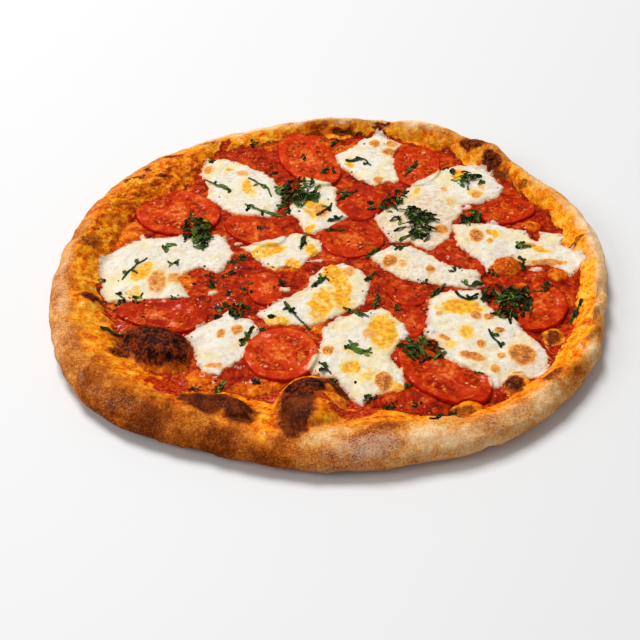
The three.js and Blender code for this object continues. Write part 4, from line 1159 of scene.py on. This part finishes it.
for number, corners in CHEESE_OUTLINES.items():
    outline = np.array(corners, float)
    crumbs = CRUMBS.get(number, [])
    spread = np.array([*corners, *(row[:2] for row in crumbs)], float)
    low, high = spread.min(0) - 4, spread.max(0) + 4
    gx, gy = np.meshgrid(np.arange(low[0], high[0], CHEESE_CELL),
                         np.arange(low[1], high[1], CHEESE_CELL), indexing="ij")
    grid = np.stack([gx, gy], -1)

    # How far inside the torn outline each point lies.
    torn = (0.9 * uneven(grid, 7, 200 + number) + 0.9 * uneven(grid, 3.4, 220 + number)
            + 0.5 * uneven(grid, 1.8, 240 + number))
    field = depth_inside(outline, gx, gy)
    for row in crumbs:
        field = np.maximum(field, (1 - oval(gx, gy, *row)) * min(row[2:4]))
    room = floor_edge(np.arctan2(gy, gx)) + UP_THE_RIM - np.hypot(gx, gy)
    field = np.minimum(field + torn * np.exp(-np.maximum(field, 0) / 5) + 0.4, room)
    outside, depth = field <= 0, np.maximum(field, 0)

    # Points just outside are pulled on to the outline.
    slope_x, slope_y = np.gradient(field, CHEESE_CELL)
    steep = np.maximum(slope_x ** 2 + slope_y ** 2, 0.25)
    push = np.where(outside, field / steep, 0)
    step = np.hypot(push * slope_x, push * slope_y)
    push *= np.minimum(1, CHEESE_CELL * 1.05 / np.maximum(step, 1e-9))
    px, py = gx - push * slope_x, gy - push * slope_y

    # The quads with a corner inside, and the points that they use.
    some = ~outside
    i, j = np.nonzero(some[:-1, :-1] | some[1:, :-1] | some[1:, 1:] | some[:-1, 1:])
    columns = gx.shape[1]
    corner = i * columns + j
    quads = np.stack([corner, corner + columns, corner + columns + 1, corner + 1], 1)
    used = np.unique(quads)
    renumber = np.full(gx.size, -1)
    renumber[used] = np.arange(len(used))
    faces = [tuple(face) for face in renumber[quads].tolist()]

    # It drapes over what lies below, bridging the gaps.
    carrier = np.zeros(gx.shape)
    carrier.flat[used] = pile.top(px.flat[used], py.flat[used])
    filled = np.where(carrier > 0, carrier, np.median(carrier[carrier > 0]))
    drape = filled + (softened(filled, 14) - filled) * (1 - np.exp(-depth / 3))
    body = LIP * (1 - np.exp(-depth / 0.5)) + CROWN * (1 - np.exp(-depth / 7))

    toasted = strongest(gx + 0.7 * uneven(grid, 4, 260), gy + 0.7 * uneven(grid, 4, 263),
                        TOASTED[number], 0.38)
    drift = 2.8 * uneven(grid, 9, 261) + 1.6 * uneven(grid, 4, 262)
    oil = strongest(gx + drift, gy, OIL_ON_CHEESE[number], 0.7)
    # Its strands are drawn out along one direction, another one for each piece.
    pulled = grid @ turning(number) * [0.55, 1] + 1.5 * uneven(grid, 9, 265)[..., None]
    bumps = (0.6 * uneven(pulled, 13, 280 + number) + 0.35 * uneven(pulled, 6, 300 + number)
             + 0.14 * uneven(pulled, 2.8, 320 + number) + 0.4 * toasted - 0.4 * oil)
    height = drape + body + bumps * np.clip(depth / 3, 0, 1)
    height = np.maximum(height, carrier + np.minimum(0.12 + 0.5 * depth, 0.8))
    height = np.where(outside, carrier + 0.02, height)

    top_points = np.stack([px, py, height], -1).reshape(-1, 3)[used]
    points, closed = sheet(top_points, faces, carrier.flat[used], CHEESE_SINK)
    # high carries the height of the bumps, which the finish turns into painted light and
    # shade.
    marks = {"toasted": toasted, "oil": oil, "thin": 1 - ease(depth, 0.2, 4.5), "high": bumps,
             "cream": CREAMY[number] * (1 - 0.6 * ease(gx + gy, 140, 185))}
    marks = {name: np.tile(values.flat[used], 2) for name, values in marks.items()}
    make(f"mozzarella_melted_{number}", points, closed, cheese, marks,
         [f"mozzarella_{number}"])
    pile.lay(top_points, faces)

# ---- basil ----------------------------------------------------------------------------------
# Fresh basil, rolled and cut into shreds, strewn on before baking. The heat has wilted and
# darkened it: heaps of it lie on the cheese and the sauce, with single shreds between.

# Half sizes of each heap, its turn in degrees, and how many shreds lie in it.
HEAPS = [
    ((13, 17), 0, 64), ((11, 17), 10, 54), ((12, 17), -10, 60), ((15, 16), 30, 66),
    ((12, 9), -20, 26), ((10, 9), -35, 24), ((10, 7), 40, 20), ((10, 7), 40, 20),
    ((8, 6), 50, 14)]
# Single shreds: points along each, and its width.
SINGLE_SHREDS = [
    ([(-146, -48), (-138, -50), (-131, -48)], 4),
    ([(-72, -106), (-69, -100), (-65, -93)], 4.5), ([(-19, 25), (-17, 35), (-14, 44)], 5),
    ([(-12, -13), (-7, -8), (-1, -3)], 5), ([(151, -54), (156, -46), (161, -38)], 6),
    ([(139, -21), (146, -20)], 5), ([(-1, 44), (6, 45), (14, 46)], 3),
    ([(8, 78), (16, 85), (25, 91)], 3), ([(23, -9), (28, -3), (32, 1)], 4),
    ([(28, -37), (30, -26), (31, -18)], 3.5), ([(65, -26), (71, -20), (77, -14)], 4),
    ([(25, 15), (31, 20), (37, 26)], 4), ([(8, -34), (17, -40), (25, -45)], 3.5),
    ([(59, 106), (65, 115), (70, 124)], 3.5)]
# Thin strands that stick to the cheese.
STRANDS = [
    [(-88, 111), (-80, 103), (-73, 99), (-67, 93)],
    [(-55, 108), (-48, 102), (-42, 97), (-38, 83)],
    [(-58, 79), (-49, 72), (-39, 67), (-29, 64)],
    [(-138, 1), (-133, 11), (-127, 17), (-122, 23)], [(-110, 37), (-110, 27)],
    [(-107, 12), (-100, 20)], [(16, 126), (23, 124), (29, 126), (35, 116)],
    [(10, -65), (13, -72), (18, -76), (25, -72)], [(-9, -82), (-5, -88), (-1, -94)],
    [(-30, -26), (-26, -35), (-20, -44), (-13, -54)], [(-57, -65), (-53, -57), (-49, -47)],
    [(98, -60), (100, -68), (103, -73), (104, -77)],
    [(86, -14), (91, -18), (97, -17), (102, -14)],
    [(81, -22), (84, -29), (90, -31), (97, -25)], [(43, 28), (49, 24), (57, 27)],
    [(128, 25), (131, 17)], [(130, 6), (128, -4)], [(58, -140), (61, -134), (66, -128)],
    [(-3, 65), (2, 70), (5, 76)], [(2, 56), (10, 58)], [(9, -70), (18, -74), (25, -77)]]


def smooth_path(corners, count):
    """Points spaced along a rounded line through the corners."""
    corners = np.asarray(corners, float)
    ends = np.vstack([2 * corners[0] - corners[1], corners, 2 * corners[-1] - corners[-2]])
    steps = np.linspace(0, len(corners) - 1 - 1e-9, count)
    return np.array([rounded(*ends[int(step):int(step) + 4], step % 1) for step in steps])


# Places across a shred: over its upper side, then back over its lower one.
ACROSS = np.array([-1, -0.5, 0, 0.5, 1, 1, 0.5, 0, -0.5, -1])
rng = np.random.default_rng(21)


def shred(path, width, fold, curl, thickness):
    """A wilted shred of leaf along a path in space: folded lengthwise, tapered at its ends."""
    way = np.gradient(path, axis=0)
    way /= np.maximum(np.linalg.norm(way, axis=1)[:, None], 1e-9)
    sideways = np.stack([-way[:, 1], way[:, 0], 0 * way[:, 0]], 1)
    sideways /= np.maximum(np.linalg.norm(sideways, axis=1)[:, None], 1e-9)
    step = np.linspace(0, 1, len(path))
    taper = 0.35 + 0.65 * np.sin(math.pi * np.clip(step * 0.9 + 0.05, 0, 1)) ** 0.5
    half = 0.5 * width * taper * (1 + 0.18 * rng.normal(size=len(path)))
    roll = curl * np.sin(math.pi * 1.3 * step + rng.uniform(0, 6)) + 0.25 * rng.normal()
    folded = np.stack([ACROSS, 1.2 * fold * np.abs(ACROSS)], 1)
    rings = []
    for i in range(len(path)):
        across, up = (half[i] * folded @ turning(roll[i])).T
        up[:5] += thickness
        rings.append(path[i] + np.outer(across, sideways[i]) + np.outer(up, (0, 0, 1)))
    rings = np.array(rings)[:, ::-1]
    return capped(rings, rings[0].mean(0), rings[-1].mean(0))


def strew(heap, path, height, greenness, **shape):
    """Adds a shred to a heap, its greenness drawn at random from a middle and a spread."""
    heap.add(*shred(np.column_stack([path, height]), **shape),
             fresh=float(np.clip(rng.normal(*greenness), 0, 1)))


basil = Finish("wilted_basil", Specular_IOR_Level=0.08, Coat_Roughness=0.2, Coat_IOR=1.4)
leaf = basil.mark("fresh") + basil.ripple(0.5, 2.2, 3)
green = basil.ramp(leaf, (0.0, 20, 18, 5), (0.25, 34, 42, 12), (0.45, 54, 74, 20),
                   (0.7, 84, 114, 34), (1.0, 128, 158, 62))
basil.surface(green, 0.5 + basil.grain(1.5, 2) * 0.25, basil.grain(0.8, 3, 0.6), 0.25,
              Coat_Weight=basil.grain(3, 2).rising(0.5, 0.62) * 0.4)

for number, (half, turn, many) in enumerate(HEAPS, 1):
    _, middle = plan_of(f"basil_heap_{number}")
    heap = Heap()
    for k in range(many):
        # One shred in seven lies further out.
        out, way = rng.random() ** 0.6 * (1.3 if k % 7 == 0 else 1), rng.uniform(0, math.tau)
        spot = middle + np.array(half) * out * toward(way) @ turning(math.radians(turn))
        long = rng.uniform(4, 12) * (0.8 if max(half) < 12 else 1)
        lie = rng.uniform(0, math.pi)
        bend = rng.uniform(-0.9, 0.9)
        steps = np.linspace(-0.5, 0.5, 8)
        path = spot + long * steps[:, None] * toward(lie + bend * steps)
        ground = pile.top(*path.T)
        lift = 2.4 * max(0, 1 - out ** 2) * rng.random() + 0.15
        arch = rng.uniform(0.2, 1.1) * (1 - (2 * steps) ** 2)
        strew(heap, path, np.maximum(ground, ground.mean()) + lift + arch,
              width=rng.uniform(1.1, 3.0), fold=rng.uniform(0.1, 0.7), curl=0.9, thickness=0.3,
              greenness=(0.38, 0.24))
    heap.make(f"basil_shreds_{number}", basil, "basil", [f"basil_heap_{number}"])

# A single shred is a bunch of one whole and five torn strips.
for number, (corners, width) in enumerate(SINGLE_SHREDS, 1):
    single = Heap()
    line = smooth_path(corners, 40)
    for k in range(6):
        if k:
            start = rng.integers(0, 22)
            part = line[start:start + rng.integers(10, 18):2]
            swing = turning(rng.normal(0, 0.45))
            path = part.mean(0) + (part - part.mean(0)) @ swing
            path += rng.normal(0, 0.16 * width, 2)
        else:
            path = line[::4]
        ground = pile.top(*path.T)
        beside = np.convolve(np.pad(ground, 1, mode="edge"), [0.25, 0.5, 0.25], "valid")
        wave = 0.3 * np.sin(np.linspace(0, 5, len(path)) + rng.uniform(0, 6)) + 0.35
        strew(single, path, np.maximum(ground, beside) + wave + 0.12 * k,
              width=width * (rng.uniform(0.25, 0.5) if k else 0.5), fold=0.5, curl=0.8,
              thickness=0.3, greenness=(0.42, 0.26))
    single.make(f"basil_single_{number}", basil, "basil", [f"basil_leaf_{number}"])

# A strand on the cheese has three short ones branching off it.
strands = Heap()
for corners in STRANDS:
    line = smooth_path(corners, 24)
    line += 0.3 * rng.normal(size=line.shape)
    for k in range(4):
        if k:
            root, way = line[rng.integers(3, 21)], rng.uniform(0, math.tau)
            steps = np.linspace(0, rng.uniform(3, 7), 7)
            bend = rng.normal(0, 0.12)
            path = root + steps[:, None] * toward(way + bend * steps)
        else:
            path = line[::2]
        strew(strands, path, pile.top(*path.T) + 0.2, width=rng.uniform(1.2, 2.8), fold=0.4,
              curl=0.6, thickness=0.3, greenness=(0.42, 0.25))
strands.make("basil_strands", basil, "basil")

# ---- herb flecks ----------------------------------------------------------------------------
# Finely chopped basil, strewn with the sauce and baked nearly black: clumps of it lie on
# the sauce, and single flecks on everything.

# Clumps: middle and width.
CLUMPS = [
    (-59, 21, 4), (-66, 7, 4), (-76, -2, 5), (-67, -15, 4), (-55, -13, 5), (-65, 17, 3),
    (-137, -19, 4), (-125, -20, 5), (43, -37, 4), (29, -121, 3), (84, -2, 4), (9, 152, 4),
    (-15, 132, 4), (2, 114, 5), (14, 87, 4), (108, -5, 4), (44, -104, 3), (-45, -51, 3),
    (-30, 96, 4), (-46, 50, 3), (62, -12, 3), (126, -26, 5), (140, -24, 4), (56, 84, 4)]
LOOSE_CLUMPS, SINGLES = 26, 260
flecks = Heap()


def fleck(spot, long):
    """Adds a fleck, lying flat at a point."""
    ground = float(pile.top(*spot))
    lie = rng.uniform(0, math.pi)
    path = spot + 0.5 * long * np.array([[-1], [0], [1]]) * toward(lie)
    strew(flecks, path, np.full(3, ground + 0.12), width=long * rng.uniform(0.35, 0.8),
          fold=0.2, curl=0.2, thickness=0.25, greenness=(0.22, 0.2))


def anywhere():
    """A random place on the bare sauce, or now and then on cheese or a slice."""
    while True:
        way, far = rng.uniform(0, math.tau), math.sqrt(rng.random())
        spot = far * (floor_edge(way) + 4) * toward(way)
        if pile.top(*spot) < FLOOR + SAUCE + 1.2 or rng.random() < 0.04:
            return spot


for x0, y0, wide in CLUMPS + [(*anywhere(), 3) for _ in range(LOOSE_CLUMPS)]:
    for _ in range(int(3.5 * wide)):
        fleck(np.array([x0, y0]) + rng.normal(0, 0.45 * wide, 2),
              0.9 + 3.2 * rng.random() ** 1.5)
for _ in range(SINGLES):
    fleck(anywhere(), 0.5 + 1.6 * rng.random() ** 2)
flecks.make("herb_flecks", basil, "basil")

# ---- floor and light ------------------------------------------------------------------------
# A plain white table top, with a broad soft lamp above and behind the pizza and a white
# room round it.

TABLE = 4  # half its side, in metres like the lamps' places and sizes
table = bpy.data.meshes.new("table")
table.from_pydata([(-TABLE, -TABLE, 0), (TABLE, -TABLE, 0), (TABLE, TABLE, 0),
                   (-TABLE, TABLE, 0)], [], [(0, 1, 2, 3)])
table_look = Finish("white_table", Base_Color=(0.77, 0.77, 0.77, 1), Roughness=0.6)
table.materials.append(table_look.material)
table_top = bpy.data.objects.new("table", table)
bpy.context.scene.collection.objects.link(table_top)


def lamp(name, place, size, power):
    """A soft square lamp that faces the middle of the pizza."""
    light = bpy.data.lights.new(name, "AREA")
    light.shape, light.size, light.energy = "SQUARE", size, power
    piece = bpy.data.objects.new(name, light)
    piece.location = place
    piece.rotation_euler = (-Vector(place)).to_track_quat("-Z", "Y").to_euler()
    bpy.context.scene.collection.objects.link(piece)


lamp("lamp_above", (-0.9, 1.9, 3.4), 1.6, 136)
lamp("lamp_left", (-3.3, -0.6, 2.4), 1.8, 46)
world = bpy.data.worlds.new("room")
world.use_nodes = True
walls = world.node_tree.nodes["Background"]
walls.inputs["Color"].default_value = (1, 1, 1, 1)
walls.inputs["Strength"].default_value = 0.3
bpy.context.scene.world = world
bpy.context.scene.view_settings.view_transform = "Standard"
